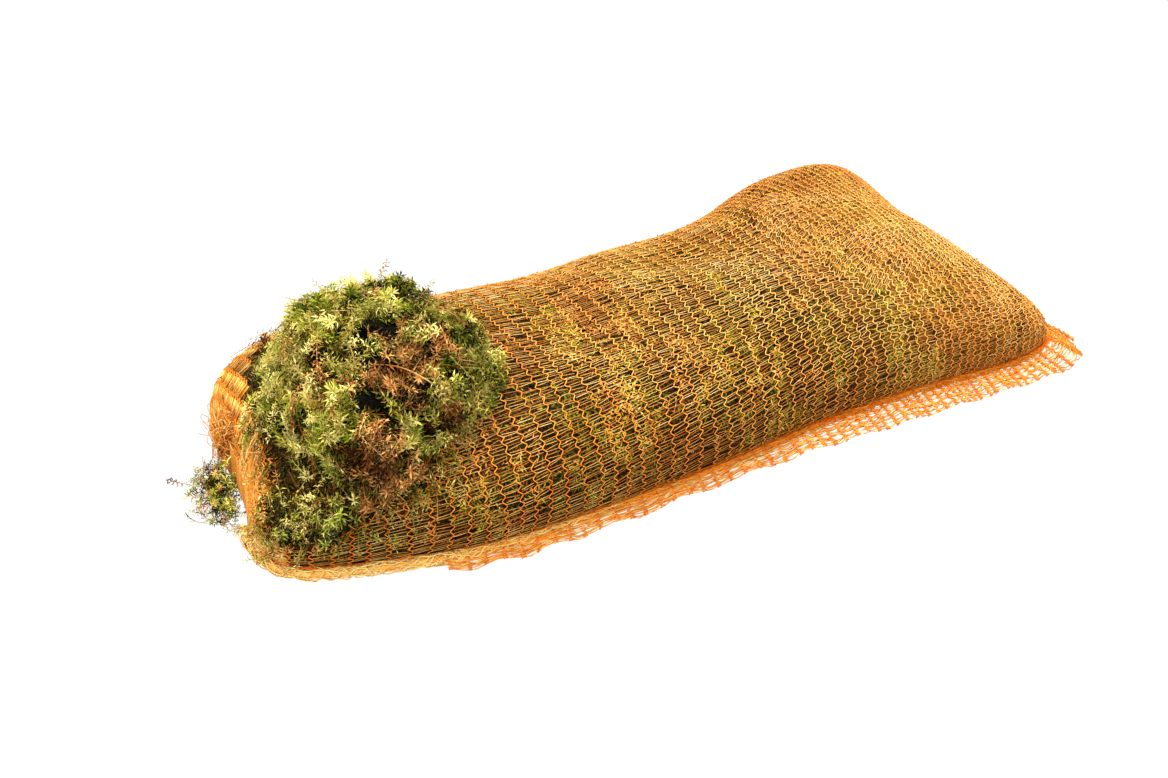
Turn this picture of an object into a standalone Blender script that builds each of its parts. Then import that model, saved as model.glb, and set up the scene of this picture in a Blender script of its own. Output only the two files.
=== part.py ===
"""A knitted net sack packed with moss, lying on its side, with a clump of the moss pulled out of a tear in its top.

Metres, +Z up. The sack's length runs along X, its torn end towards -X and its sewn side towards -Y. The origin is
under the middle of the whole object, on the surface that it lies on.
"""

import math

import bmesh
import bpy
import numpy as np

OBJECT_NAME = "moss_net_sack"

# The sack's outline, read at stations along its length: where its sewn near side and its far side are, and its top.
STATION_X = (-0.270, -0.180, -0.090, 0.000, 0.090, 0.180, 0.270)
NEAR_SIDE_Y = (-0.130, -0.163, -0.163, -0.154, -0.140, -0.136, -0.134)
FAR_SIDE_Y = (0.043, 0.056, 0.050, 0.052, 0.065, 0.110, 0.137)
TOP_Z = (0.089, 0.095, 0.093, 0.092, 0.089, 0.085, 0.061)

# How the sack closes at its two ends: over what length, and how blunt it is in width and in height (2 is round).
SACK_LEFT_X = -0.275
SACK_RIGHT_X = 0.263
LEFT_NOSE_LENGTH = 0.048
LEFT_WIDTH_BLUNTNESS = 6.0
LEFT_HEIGHT_BLUNTNESS = 2.4
RIGHT_NOSE_LENGTH = 0.060
RIGHT_WIDTH_BLUNTNESS = 7.0
RIGHT_HEIGHT_BLUNTNESS = 2.2
FAR_EAR_REACH = 0.026
NEAR_EAR_REACH = 0.013
EAR_START_X = 0.130
LEFT_END_SLANT = 0.010
LEFT_CORNER_REACH = 0.013
LEFT_END_FROM_X = -0.180

# The section: the share of its height where it is widest, how square it is, and how far its underside is pressed flat.
WAIST_SHARE = 0.36
SIDE_ROUNDNESS = 2.3
RIGHT_SIDE_ROUNDNESS = 3.4
TOP_ROUNDNESS = 2.1
BOTTOM_FLATNESS = 3.2
BOTTOM_DIP = 0.006

# Soft lumps of packed moss under the top.
LUMP_HEIGHT = 0.0022
LUMP_LENGTH = 0.075
LUMP_SLANT = 0.45

SACK_SIDES = 32
SACK_RINGS = 30

# The net's wall, and the room left between pieces that touch.
NET_THICKNESS = 0.0010
TOUCH_GAP = 0.0004

# The tear in the top of the left end, an egg-shaped hole seen from above. Down the near side its edge climbs to the
# right, by so much for each metre of length.
MOUTH_CENTRE = (-0.209, -0.074)
MOUTH_HALF_LENGTH = 0.060
MOUTH_HALF_WIDTH = 0.094
MOUTH_TURN = math.radians(-14)
MOUTH_EGG = 0.25
MOUTH_SIDES = 28
MOUTH_LOWEST_Z = 0.030
MOUTH_CLIMB = 0.42
MOUTH_BLOCK_TOP = 0.200

# The hollow in the packed moss beside the clump, at the tear's near left.
HOLLOW_CENTRE = (-0.246, -0.118)
HOLLOW_RADIUS = 0.034
HOLLOW_DEPTH = 0.012
HOLLOW_FLOOR_Z = 0.030
HOLLOW_FADE = 0.020

# The clump of moss that stands out of the tear. It draws in above the hollow and at its near right.
CLUMP_CENTRE = (-0.196, -0.072, 0.070)
CLUMP_HALF_SIZE = (0.071, 0.090, 0.067)
CLUMP_LUMP = 0.13
CLUMP_LUMP_LENGTH = 0.30
CLUMP_DRAWN_IN = (
    ((-0.50, -0.62, -0.35), 0.02),
    ((0.62, -0.66, -0.40), 0.32),
    ((0.20, -0.85, -0.50), 0.36),
    ((-0.63, 0.70, 0.60), 0.16),
    ((0.40, 0.30, 0.85), -0.04),
)
CLUMP_DRAWN_SPREAD = 0.35
CLUMP_UNDER_SHARE = 0.72
CLUMP_SQUARENESS = 3.6
CLUMP_SQUARE_TO = -0.4
CLUMP_ROUND_FROM = 0.8

# The tuft that has fallen out beside the left end.
TUFT_CENTRE = (-0.287, -0.038, 0.0175)
TUFT_HALF_SIZE = (0.016, 0.022, 0.018)
TUFT_LUMP = 0.18
TUFT_LUMP_LENGTH = 0.40

# The bunch that gathers the net at the left end.
BUNCH_CENTRE = (-0.274, -0.026, 0.050)
BUNCH_HALF_SIZE = (0.012, 0.018, 0.018)
PLEATS = 9
PLEAT_DEPTH = 0.14

# The rolled and stitched seam, from the left tip down to the floor and along the near side. Its two ends are in
# quarter turns of the sack's length, -1 at the left tip and 1 at the right.
SEAM_AROUND = math.radians(203)
SEAM_END_AROUND = math.radians(186)
SEAM_LEFT = -0.985
SEAM_RIGHT = 0.90
SEAM_CLIMB_START = 0.90
SEAM_RADIUS = 0.0016
SEAM_POINTS = 64
SEAM_CLEARANCE = 0.0009
SEAM_STEP = 0.001
ROLL_RADIUS = 0.0034
ROLL_FULL_TO = 0.24
ROLL_THINS_OVER = 0.20

# The frill of net beyond the seam.
FRILL_START = 0.22
FRILL_STEPS = 72
FRILL_ROWS = 2
FRILL_FIRST = 0.0025
FRILL_OPENS_OVER = 0.16
FRILL_NARROW = 0.0065
FRILL_WIDE = 0.018
FRILL_GROWS_FROM = 0.50
FRILL_GROWS_OVER = 0.22
FRILL_CLEARANCE = 0.0012
FRILL_THICKNESS = 0.0016
FRILL_FLOOR_Z = 0.0014
RUFFLES = 17
RUFFLE_DRIFT = 0.8
RUFFLE_DRIFTS = 3
RUFFLE_REACH = 0.06
RUFFLE_HEIGHT = 0.004
FLARE_START = 0.90
FLARE_EXTRA = 0.002
FLARE_LIFT = 0.002

# The middle of the whole object's box on the floor, which becomes the origin.
MIDDLE_X = -0.0033
MIDDLE_Y = -0.0212


def clear_scene():
    """Empties the scene, so that the model is the only thing in it."""
    for thing in list(bpy.data.objects):
        bpy.data.objects.remove(thing, do_unlink=True)


def through_stations(values, x):
    """A smooth curve through one value per station (a cubic between neighbours, flat past both ends)."""
    stations = np.array(STATION_X)
    values = np.array(values)
    x = np.clip(x, stations[0], stations[-1])
    slopes = np.gradient(values, stations)
    left = np.clip(np.searchsorted(stations, x, side="right") - 1, 0, len(stations) - 2)
    span = stations[left + 1] - stations[left]
    t = (x - stations[left]) / span
    rise = values[left] * (2 * t**3 - 3 * t**2 + 1) + values[left + 1] * (3 * t**2 - 2 * t**3)
    bend = slopes[left] * (t**3 - 2 * t**2 + t) + slopes[left + 1] * (t**3 - t**2)
    return rise + bend * span


def ease(t):
    """Goes from 0 to 1 with level ends."""
    t = np.clip(t, 0.0, 1.0)
    return t * t * (3.0 - 2.0 * t)


def rounded(value, power):
    """A signed power, which squares off a circle's sine or cosine."""
    return np.sign(value) * np.abs(value) ** (2.0 / power)


def nose(distance, length, power):
    """How far a section has opened at a distance from the sack's end: 0 at the tip, 1 past the nose."""
    t = np.clip(1.0 - distance / length, 0.0, 1.0)
    return (1.0 - t**power) ** (1.0 / power)


def sack_surface(along, around):
    """The sack's outside: a rounded section carried through the stations.

    along runs from -1 at the left tip to 1 at the right, and around from 0 at the far side over the top. The width
    and height close at both ends along rounded noses, the underside is flat on the floor, and the right end's
    corners and the near left one reach out.
    """
    middle = (SACK_LEFT_X + SACK_RIGHT_X) / 2
    x = middle + (SACK_RIGHT_X - SACK_LEFT_X) / 2 * along
    near = through_stations(NEAR_SIDE_Y, x)
    far = through_stations(FAR_SIDE_Y, x)
    top = through_stations(TOP_Z, x)
    waist = top * WAIST_SHARE

    from_left = x - SACK_LEFT_X
    from_right = SACK_RIGHT_X - x
    width = nose(from_left, LEFT_NOSE_LENGTH, LEFT_WIDTH_BLUNTNESS)
    width *= nose(from_right, RIGHT_NOSE_LENGTH, RIGHT_WIDTH_BLUNTNESS)
    height = nose(from_left, LEFT_NOSE_LENGTH, LEFT_HEIGHT_BLUNTNESS)
    height *= nose(from_right, RIGHT_NOSE_LENGTH, RIGHT_HEIGHT_BLUNTNESS)

    squared = ease((x - EAR_START_X) / (SACK_RIGHT_X - EAR_START_X))
    across = rounded(np.cos(around), SIDE_ROUNDNESS + (RIGHT_SIDE_ROUNDNESS - SIDE_ROUNDNESS) * squared)
    rise = np.sin(around)
    y = (near + far) / 2 + (far - near) / 2 * width * across
    upper = waist + (top - waist) * height * rounded(np.maximum(rise, 0.0), TOP_ROUNDNESS)
    lower = waist - (waist + BOTTOM_DIP) * height * rounded(np.maximum(-rise, 0.0), BOTTOM_FLATNESS)
    z = np.where(rise >= 0.0, upper, lower)

    wave = math.pi / LUMP_LENGTH
    lump = np.sin(wave * (x + LUMP_SLANT * y)) * np.sin(wave * (y - LUMP_SLANT * x))
    z = z + LUMP_HEIGHT * lump * height * np.clip(rise, 0.0, 1.0)
    z = np.maximum(z, 0.0)

    ear = FAR_EAR_REACH * np.maximum(across, 0.0) ** 2 + NEAR_EAR_REACH * np.maximum(-across, 0.0) ** 2
    slanted = ease((LEFT_END_FROM_X - x) / (LEFT_END_FROM_X - SACK_LEFT_X))
    left_end = LEFT_END_SLANT * across - LEFT_CORNER_REACH * np.maximum(-across, 0.0) ** 2
    x = x + ear * squared + left_end * width * slanted
    return np.stack([x, y, z], axis=-1)


def reshaped_sphere(name, sides, rings, reshape):
    """A UV sphere with its poles along X, split into triangles, every vertex moved to where reshape puts it."""
    mesh = bpy.data.meshes.new(name)
    form = bmesh.new()
    bmesh.ops.create_uvsphere(form, u_segments=sides, v_segments=rings, radius=1.0)
    bmesh.ops.triangulate(form, faces=form.faces, quad_method="FIXED")
    form.to_mesh(mesh)
    form.free()
    ball = read_vertices(mesh)
    write_vertices(mesh, reshape(ball[:, 2], np.arctan2(ball[:, 1], ball[:, 0])))
    return bpy.data.objects.new(name, mesh)


def reshaped_ball(name, subdivisions, reshape):
    """An even ball of small triangles, with every vertex moved to where reshape puts it."""
    mesh = bpy.data.meshes.new(name)
    form = bmesh.new()
    bmesh.ops.create_icosphere(form, subdivisions=subdivisions, radius=1.0)
    form.to_mesh(mesh)
    form.free()
    write_vertices(mesh, reshape(read_vertices(mesh)))
    return bpy.data.objects.new(name, mesh)


def read_vertices(mesh):
    """A mesh's vertices as rows of x, y, z."""
    flat = np.empty(len(mesh.vertices) * 3)
    mesh.vertices.foreach_get("co", flat)
    return flat.reshape(-1, 3)


def write_vertices(mesh, rows):
    """Puts rows of x, y, z back into a mesh."""
    mesh.vertices.foreach_set("co", rows.ravel())
    mesh.update()


def sank(mesh, depth):
    """A mesh's vertices moved inwards along their normals."""
    flat = np.empty(len(mesh.vertices) * 3)
    mesh.vertices.foreach_get("normal", flat)
    return read_vertices(mesh) - flat.reshape(-1, 3) * depth


def add_modifier(thing, kind, **settings):
    """Adds a modifier with its settings."""
    modifier = thing.modifiers.new(kind.title(), kind)
    for name, value in settings.items():
        setattr(modifier, name, value)


def cut_by(thing, cutter):
    """Takes a cutter's solid away from an object."""
    add_modifier(thing, "BOOLEAN", operation="DIFFERENCE", solver="EXACT", object=cutter)


def finish(name, colour, roughness):
    """A plain Principled material."""
    material = bpy.data.materials.new(name)
    material.use_nodes = True
    shader = material.node_tree.nodes["Principled BSDF"]
    shader.inputs["Base Color"].default_value = (*colour, 1.0)
    shader.inputs["Roughness"].default_value = roughness
    shader.inputs["Metallic"].default_value = 0.0
    return material


def grown_sack(name, growth):
    """The sack's closed outer form, larger all round by a gap, for cutting what lies against it."""
    form = reshaped_sphere(name, SACK_SIDES, SACK_RINGS, sack_surface)
    write_vertices(form.data, sank(form.data, -growth))
    return form


def mouth_plug(name, inset):
    """An upright egg-shaped block that reaches through the tear in the net, smaller by inset all round.

    Its bottom is a slanted plane, lowest at the left end of the tear.
    """
    mesh = bpy.data.meshes.new(name)
    form = bmesh.new()
    bmesh.ops.create_cone(form, cap_ends=True, segments=MOUTH_SIDES, radius1=1.0, radius2=1.0, depth=1.0)
    form.to_mesh(mesh)
    form.free()
    unit = read_vertices(mesh)
    x = unit[:, 0] * (MOUTH_HALF_LENGTH - inset)
    y = unit[:, 1] * (MOUTH_HALF_WIDTH - inset) * (1.0 - MOUTH_EGG * unit[:, 0])
    turned_x = x * math.cos(MOUTH_TURN) - y * math.sin(MOUTH_TURN)
    turned_y = x * math.sin(MOUTH_TURN) + y * math.cos(MOUTH_TURN)
    bottom = MOUTH_LOWEST_Z + inset + MOUTH_CLIMB * (turned_x + MOUTH_HALF_LENGTH)
    z = np.where(unit[:, 2] < 0.0, bottom, MOUTH_BLOCK_TOP)
    rows = np.stack([turned_x + MOUTH_CENTRE[0], turned_y + MOUTH_CENTRE[1], z], axis=-1)
    write_vertices(mesh, rows)
    return bpy.data.objects.new(name, mesh)


def packed_moss():
    """The moss inside the net: the sack's form less the net's wall, with the hollow that shows in the tear."""
    moss = reshaped_sphere("packed_moss", SACK_SIDES, SACK_RINGS, sack_surface)
    rows = sank(moss.data, NET_THICKNESS + TOUCH_GAP)
    offset = rows[:, :2] - np.array(HOLLOW_CENTRE)
    depth = HOLLOW_DEPTH * np.exp(-(offset**2).sum(axis=1) / HOLLOW_RADIUS**2)
    rows[:, 2] -= depth * ease((rows[:, 2] - HOLLOW_FLOOR_Z) / HOLLOW_FADE)
    write_vertices(moss.data, rows)
    return moss


def net_sack(plug):
    """The knitted net, a thin wall round the moss with the tear cut through it."""
    net = reshaped_sphere("net_sack", SACK_SIDES, SACK_RINGS, sack_surface)
    add_modifier(net, "SOLIDIFY", thickness=NET_THICKNESS, offset=-1.0, use_even_offset=False)
    cut_by(net, plug)
    return net


def lumps(direction, length):
    """Rounded lumps over a ball: products of sines in three slanted directions, between -1 and 1."""
    p = direction / length
    first = np.sin(p[:, 0] * 1.3 + p[:, 1] * 0.7) * np.sin(p[:, 1] * 1.1 - p[:, 2] * 0.8)
    second = np.sin(p[:, 2] * 1.7 + p[:, 0] * 0.6) * np.sin(p[:, 0] * 0.9 - p[:, 1] * 1.5)
    return (first + second) / 2


def clump_form(unit):
    """The clump: a ball stretched to its half size, squarer below, lumped, and drawn in on some of its sides."""
    radius = 1.0 + CLUMP_LUMP * lumps(unit, CLUMP_LUMP_LENGTH)
    for toward, amount in CLUMP_DRAWN_IN:
        side = np.array(toward) / np.linalg.norm(toward)
        radius -= amount * np.exp(-((unit - side) ** 2).sum(axis=1) / CLUMP_DRAWN_SPREAD)
    upper = ease((unit[:, 2] - CLUMP_SQUARE_TO) / (CLUMP_ROUND_FROM - CLUMP_SQUARE_TO))
    squareness = CLUMP_SQUARENESS + (2.0 - CLUMP_SQUARENESS) * upper
    full = (np.abs(unit) ** squareness[:, None]).sum(axis=1) ** (1.0 / squareness)
    rows = np.array(CLUMP_CENTRE) + unit * np.array(CLUMP_HALF_SIZE) * (radius / full)[:, None]
    below = np.minimum(rows[:, 2] - CLUMP_CENTRE[2], 0.0)
    rows[:, 2] -= below * (1.0 - CLUMP_UNDER_SHARE)
    return rows


def tuft_form(unit):
    """The fallen tuft's ball, lumped and kept just off the floor."""
    radius = 1.0 + TUFT_LUMP * lumps(unit, TUFT_LUMP_LENGTH)
    rows = np.array(TUFT_CENTRE) + unit * np.array(TUFT_HALF_SIZE) * radius[:, None]
    rows[:, 2] = np.maximum(rows[:, 2], TOUCH_GAP)
    return rows


def bunch_form(unit):
    """The gathered end: a ball with pleats that run out from the sack's end."""
    angle = np.arctan2(unit[:, 2], unit[:, 1])
    radius = 1.0 + PLEAT_DEPTH * np.sin(PLEATS * angle) * np.hypot(unit[:, 1], unit[:, 2])
    return np.array(BUNCH_CENTRE) + unit * np.array(BUNCH_HALF_SIZE) * radius[:, None]


def seam_radius(share):
    """Half the thickness of the rolled seam: a fat roll at the left end that thins to a stitched line."""
    return SEAM_RADIUS + (ROLL_RADIUS - SEAM_RADIUS) * (1.0 - ease((share - ROLL_FULL_TO) / ROLL_THINS_OVER))


def seam_line(share):
    """The rolled seam's middle line, and the level way out from the sack there.

    share runs from 0 at the left tip, down to the floor, along the near side to 1 at the right end's near corner,
    where the seam climbs the corner. The line lies outside the net's surface by the roll's own radius.
    """
    quarter_turns = SEAM_LEFT + (SEAM_RIGHT - SEAM_LEFT) * share
    along = np.sin(quarter_turns * math.pi / 2)
    climb = ease((share - SEAM_CLIMB_START) / (1.0 - SEAM_CLIMB_START))
    around = SEAM_AROUND + (SEAM_END_AROUND - SEAM_AROUND) * climb
    step = SEAM_STEP
    run = sack_surface(along + step, around) - sack_surface(along - step, around)
    turn = sack_surface(along, around + step) - sack_surface(along, around - step)
    out = np.cross(turn, run)
    out = out / np.linalg.norm(out, axis=1, keepdims=True)
    radius = seam_radius(share)
    line = sack_surface(along, around) + out * (radius + SEAM_CLEARANCE)[:, None]
    line[:, 2] = np.maximum(line[:, 2], radius + TOUCH_GAP)
    level = out * np.array([1.0, 1.0, 0.0])
    return line, level / np.linalg.norm(level, axis=1, keepdims=True)


def rolled_seam():
    """The net's edge rolled and stitched: a round tube that follows the seam, its thickness given point by point."""
    share = np.linspace(0.0, 1.0, SEAM_POINTS)
    line, _ = seam_line(share)
    curve = bpy.data.curves.new("rolled_seam", "CURVE")
    curve.dimensions = "3D"
    curve.bevel_depth = 1.0
    curve.bevel_resolution = 1
    curve.use_fill_caps = True
    spline = curve.splines.new("POLY")
    spline.points.add(SEAM_POINTS - 1)
    spline.points.foreach_set("co", np.column_stack([line, np.ones(SEAM_POINTS)]).ravel())
    spline.points.foreach_set("radius", seam_radius(share))
    return bpy.data.objects.new("rolled_seam", curve)


def frill_width(share):
    """How far the frill reaches out from the seam: it opens from an edge, stays narrow, then widens to the flare."""
    opened = ease((share - FRILL_START) / FRILL_OPENS_OVER)
    grown = ease((share - FRILL_GROWS_FROM) / FRILL_GROWS_OVER)
    flare = ease((share - FLARE_START) / (1.0 - FLARE_START))
    narrow = FRILL_FIRST + (FRILL_NARROW - FRILL_FIRST) * opened
    return narrow + (FRILL_WIDE - FRILL_NARROW) * grown + FLARE_EXTRA * flare


def seam_frill():
    """The net's margin beyond the seam: a ruffled strip that leans on the floor and lifts in a flare at the corner.

    A flat grid is carried along the seam. Its first edge lies against the rolled seam, and its second edge reaches
    out and down to the floor, in ruffles that grow towards the free edge.
    """
    mesh = bpy.data.meshes.new("seam_frill")
    form = bmesh.new()
    bmesh.ops.create_grid(form, x_segments=FRILL_STEPS, y_segments=FRILL_ROWS, size=1.0)
    form.to_mesh(mesh)
    form.free()
    flat = read_vertices(mesh)
    share = FRILL_START + (1.0 - FRILL_START) * (flat[:, 0] + 1.0) / 2
    reach = (1.0 - flat[:, 1]) / 2

    line, out = seam_line(share)
    inner = line + out * (seam_radius(share) + FRILL_CLEARANCE)[:, None]
    flare = ease((share - FLARE_START) / (1.0 - FLARE_START))
    turns = share * 2 * math.pi
    ruffle = np.sin(turns * RUFFLES + RUFFLE_DRIFT * np.sin(turns * RUFFLE_DRIFTS))
    rows = inner + out * (frill_width(share) * reach * (1.0 + RUFFLE_REACH * ruffle))[:, None]
    droop = inner[:, 2] * (1.0 - reach) + FRILL_FLOOR_Z * reach
    rows[:, 2] = droop + reach * (RUFFLE_HEIGHT * (1.0 + ruffle) / 2 + flare * FLARE_LIFT)
    rows[:, 2] = np.maximum(rows[:, 2], FRILL_FLOOR_Z)
    write_vertices(mesh, rows)
    frill = bpy.data.objects.new("seam_frill", mesh)
    add_modifier(frill, "SOLIDIFY", thickness=FRILL_THICKNESS, offset=0.0, use_even_offset=False)
    return frill


def place(things, collection, parent):
    """Links objects to a collection, and hangs them on a parent."""
    for thing in things:
        collection.objects.link(thing)
        thing.parent = parent


def build():
    """Models the whole sack."""
    clear_scene()
    parts = bpy.data.collections.new(OBJECT_NAME)
    cutters = bpy.data.collections.new("cutters")
    bpy.context.scene.collection.children.link(parts)
    bpy.context.scene.collection.children.link(cutters)
    middle = bpy.data.objects.new("middle_of_the_floor", None)
    middle.location = (-MIDDLE_X, -MIDDLE_Y, 0.0)
    parts.objects.link(middle)

    hole = mouth_plug("mouth_hole", 0.0)
    plug = mouth_plug("mouth_plug", TOUCH_GAP)
    moss = packed_moss()
    net = net_sack(hole)

    sack_room = grown_sack("sack_room", TOUCH_GAP)
    clump_room = grown_sack("clump_room", TOUCH_GAP)
    cut_by(clump_room, plug)
    moss_room = bpy.data.objects.new("moss_room", moss.data.copy())
    write_vertices(moss_room.data, sank(moss_room.data, -TOUCH_GAP))

    clump = reshaped_ball("moss_clump", 4, clump_form)
    cut_by(clump, clump_room)
    cut_by(clump, moss_room)
    tuft = reshaped_ball("fallen_tuft", 3, tuft_form)
    cut_by(tuft, sack_room)
    bunch = reshaped_ball("gathered_end", 3, bunch_form)
    cut_by(bunch, sack_room)
    seam = rolled_seam()
    frill = seam_frill()

    looks = {
        moss: finish("packed_moss_brown_green", (0.18, 0.14, 0.05), 0.95),
        net: finish("net_orange", (0.85, 0.33, 0.05), 0.55),
        clump: finish("moss_green", (0.32, 0.38, 0.10), 0.90),
        tuft: finish("moss_grey_green", (0.27, 0.30, 0.15), 0.90),
        bunch: finish("net_bunch_orange", (0.95, 0.35, 0.04), 0.55),
        seam: finish("seam_orange", (0.85, 0.27, 0.03), 0.60),
        frill: finish("frill_orange", (0.90, 0.42, 0.10), 0.55),
    }
    for thing, material in looks.items():
        thing.data.materials.append(material)
    place(looks, parts, middle)
    blocks = [hole, plug, sack_room, clump_room, moss_room]
    place(blocks, cutters, middle)
    for block in blocks:
        block.hide_render = True
        block.display_type = "WIRE"
    for thing in (moss, net, clump, tuft, bunch, frill):
        thing.data.shade_smooth()


build()
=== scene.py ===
"""A knitted net sack packed with moss: its threads, stitches, shoots and leaves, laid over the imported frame.

Metres, +Z up. Every thread is a real tube and every leaf a small curled blade, so nothing here is an image.
A tone is a place between 0 and 1 on its material's colour ramp.
"""

import math

import bpy
import numpy as np
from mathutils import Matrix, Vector


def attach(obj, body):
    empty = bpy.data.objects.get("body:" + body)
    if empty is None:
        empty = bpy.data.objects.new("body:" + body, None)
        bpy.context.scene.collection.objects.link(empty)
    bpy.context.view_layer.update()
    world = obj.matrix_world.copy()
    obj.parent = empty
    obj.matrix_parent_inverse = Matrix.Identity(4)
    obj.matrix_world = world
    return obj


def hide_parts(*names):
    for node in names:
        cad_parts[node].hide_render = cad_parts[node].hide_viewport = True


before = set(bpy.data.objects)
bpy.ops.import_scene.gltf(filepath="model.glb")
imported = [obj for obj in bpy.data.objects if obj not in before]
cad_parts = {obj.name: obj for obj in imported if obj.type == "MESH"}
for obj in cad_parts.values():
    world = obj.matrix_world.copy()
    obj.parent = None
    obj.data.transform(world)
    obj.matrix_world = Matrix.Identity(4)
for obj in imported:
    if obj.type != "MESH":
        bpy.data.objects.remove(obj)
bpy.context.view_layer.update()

BODY = "root"

# The camera stands where the photographer stood: degrees, metres and millimetres of lens.
CAMERA_AZIMUTH = -29.2
CAMERA_ELEVATION = 30.0
CAMERA_DISTANCE = 1.6
CAMERA_LENS = 75.0
CAMERA_SENSOR = 36.0
LOOK_AT = (-0.0167, 0.0112, 0.0)

# The studio's soft lamps, each pointed at the sack: place, side and watts.
LAMPS = {
    "key": ((0.10, 0.05, 1.45), 0.9, 47.0),
    "front": ((0.9, -1.1, 0.8), 1.0, 7.5),
    "left": ((-1.1, -0.8, 0.9), 0.9, 22.0),
}
SKY_STRENGTH = 0.50
FLOOR_HALF_SIZE = 6.0

# The sack's outside, as its solid has it: stations along its length, its two ends and its section. Places
# below are in the part's design frame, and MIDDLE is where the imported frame's origin lies in that.
MIDDLE = np.array([-0.0033, -0.0212, 0.0])
STATION_X = (-0.270, -0.180, -0.090, 0.000, 0.090, 0.180, 0.270)
NEAR_SIDE_Y = (-0.130, -0.163, -0.163, -0.154, -0.140, -0.136, -0.134)
FAR_SIDE_Y = (0.043, 0.056, 0.050, 0.052, 0.065, 0.110, 0.137)
TOP_Z = (0.089, 0.095, 0.093, 0.092, 0.089, 0.085, 0.061)
SACK_LEFT_X = -0.275
SACK_RIGHT_X = 0.263
LEFT_NOSE_LENGTH = 0.048
LEFT_WIDTH_BLUNTNESS = 6.0
LEFT_HEIGHT_BLUNTNESS = 2.4
RIGHT_NOSE_LENGTH = 0.060
RIGHT_WIDTH_BLUNTNESS = 7.0
RIGHT_HEIGHT_BLUNTNESS = 2.2
FAR_EAR_REACH = 0.026
NEAR_EAR_REACH = 0.013
EAR_START_X = 0.130
LEFT_END_SLANT = 0.010
LEFT_CORNER_REACH = 0.013
LEFT_END_FROM_X = -0.180
WAIST_SHARE = 0.36
SIDE_ROUNDNESS = 2.3
RIGHT_SIDE_ROUNDNESS = 3.4
TOP_ROUNDNESS = 2.1
BOTTOM_FLATNESS = 3.2
BOTTOM_DIP = 0.006
LUMP_HEIGHT = 0.0022
LUMP_LENGTH = 0.075
LUMP_SLANT = 0.45

# How far along the sack its skin is drawn, and how far it has a way out, as shares of its half length.
TIP = 0.9985
FRAMED_TO = 0.9975

# The tear in the net, widened at the near left corner by two balls (x, y, z and radius), how far threads stop
# short of it and the hem runs over it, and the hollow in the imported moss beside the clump.
MOUTH_CENTRE = (-0.209, -0.074)
MOUTH_HALF_LENGTH = 0.060
MOUTH_HALF_WIDTH = 0.094
MOUTH_TURN = math.radians(-14)
MOUTH_EGG = 0.25
MOUTH_LOWEST_Z = 0.030
MOUTH_CLIMB = 0.42
WIDER_TEAR = ((-0.272, -0.128, 0.048, 0.020), (-0.258, -0.137, 0.046, 0.014))
THREADS_STOP_SHORT = 0.001
HEM_RUNS_OVER = -0.002
HOLLOW_CENTRE = (-0.246, -0.118)
HOLLOW_RADIUS = 0.034
HOLLOW_DEPTH = 0.012
HOLLOW_FLOOR_Z = 0.030
HOLLOW_FADE = 0.020
HOLLOW_SHOOTS_CENTRE = (-0.256, -0.124)
HOLLOW_SHOOTS_REACH = 0.028

# The tear's rim is looked for on turns round a place, up to a reach. Both are in quarter turns along the sack
# and radians round it.
RIM_MIDDLE = (-0.54, math.radians(112))
RIM_REACH = (0.45, 1.9)

# The clump, the fallen tuft and the gathered end of the net.
CLUMP_CENTRE = (-0.196, -0.072, 0.070)
CLUMP_HALF_SIZE = (0.071, 0.090, 0.067)
CLUMP_LUMP = 0.13
CLUMP_LUMP_LENGTH = 0.30
CLUMP_DRAWN_IN = (
    ((-0.50, -0.62, -0.35), 0.02),
    ((0.62, -0.66, -0.40), 0.32),
    ((0.20, -0.85, -0.50), 0.36),
    ((-0.63, 0.70, 0.60), 0.16),
    ((0.40, 0.30, 0.85), -0.04),
)
CLUMP_DRAWN_SPREAD = 0.35
CLUMP_UNDER_SHARE = 0.72
CLUMP_SQUARENESS = 3.6
CLUMP_SQUARE_TO = -0.4
CLUMP_ROUND_FROM = 0.8
TUFT_CENTRE = (-0.287, -0.038, 0.0175)
TUFT_HALF_SIZE = (0.016, 0.022, 0.018)
TUFT_LUMP = 0.18
TUFT_LUMP_LENGTH = 0.40
BUNCH_CENTRE = (-0.274, -0.026, 0.050)
BUNCH_HALF_SIZE = (0.012, 0.018, 0.018)

# Where the clump's moss is old and brown, where it is palest, where it sinks into hollows darkened by painted
# shade or a little, and where painted shade darkens the sack's far ear: x, y, z and radius of each spot.
BROWN_MOSS = (
    (-0.202, -0.121, 0.119, 0.021),
    (-0.182, -0.147, 0.098, 0.014),
    (-0.226, -0.152, 0.094, 0.015),
    (-0.211, -0.158, 0.071, 0.021),
    (-0.239, -0.146, 0.071, 0.015),
)
PALE_MOSS = (
    (-0.243, -0.125, 0.113, 0.016),
    (-0.249, -0.067, 0.106, 0.018),
    (-0.252, -0.120, 0.092, 0.014),
    (-0.185, -0.135, 0.112, 0.012),
)
DARK_HOLLOWS = (
    (-0.252, -0.124, 0.070, 0.017),
    (-0.244, -0.140, 0.082, 0.009),
    (-0.190, -0.146, 0.098, 0.008),
    (-0.262, -0.112, 0.048, 0.022),
)
SUNK_MOSS = ((-0.240, -0.025, 0.104, 0.030), (-0.222, 0.004, 0.110, 0.022))
FAR_EAR_SHADE = ((0.185, 0.10, 0.125, 0.100),)
FAR_EAR_DARKER = 0.58

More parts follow.
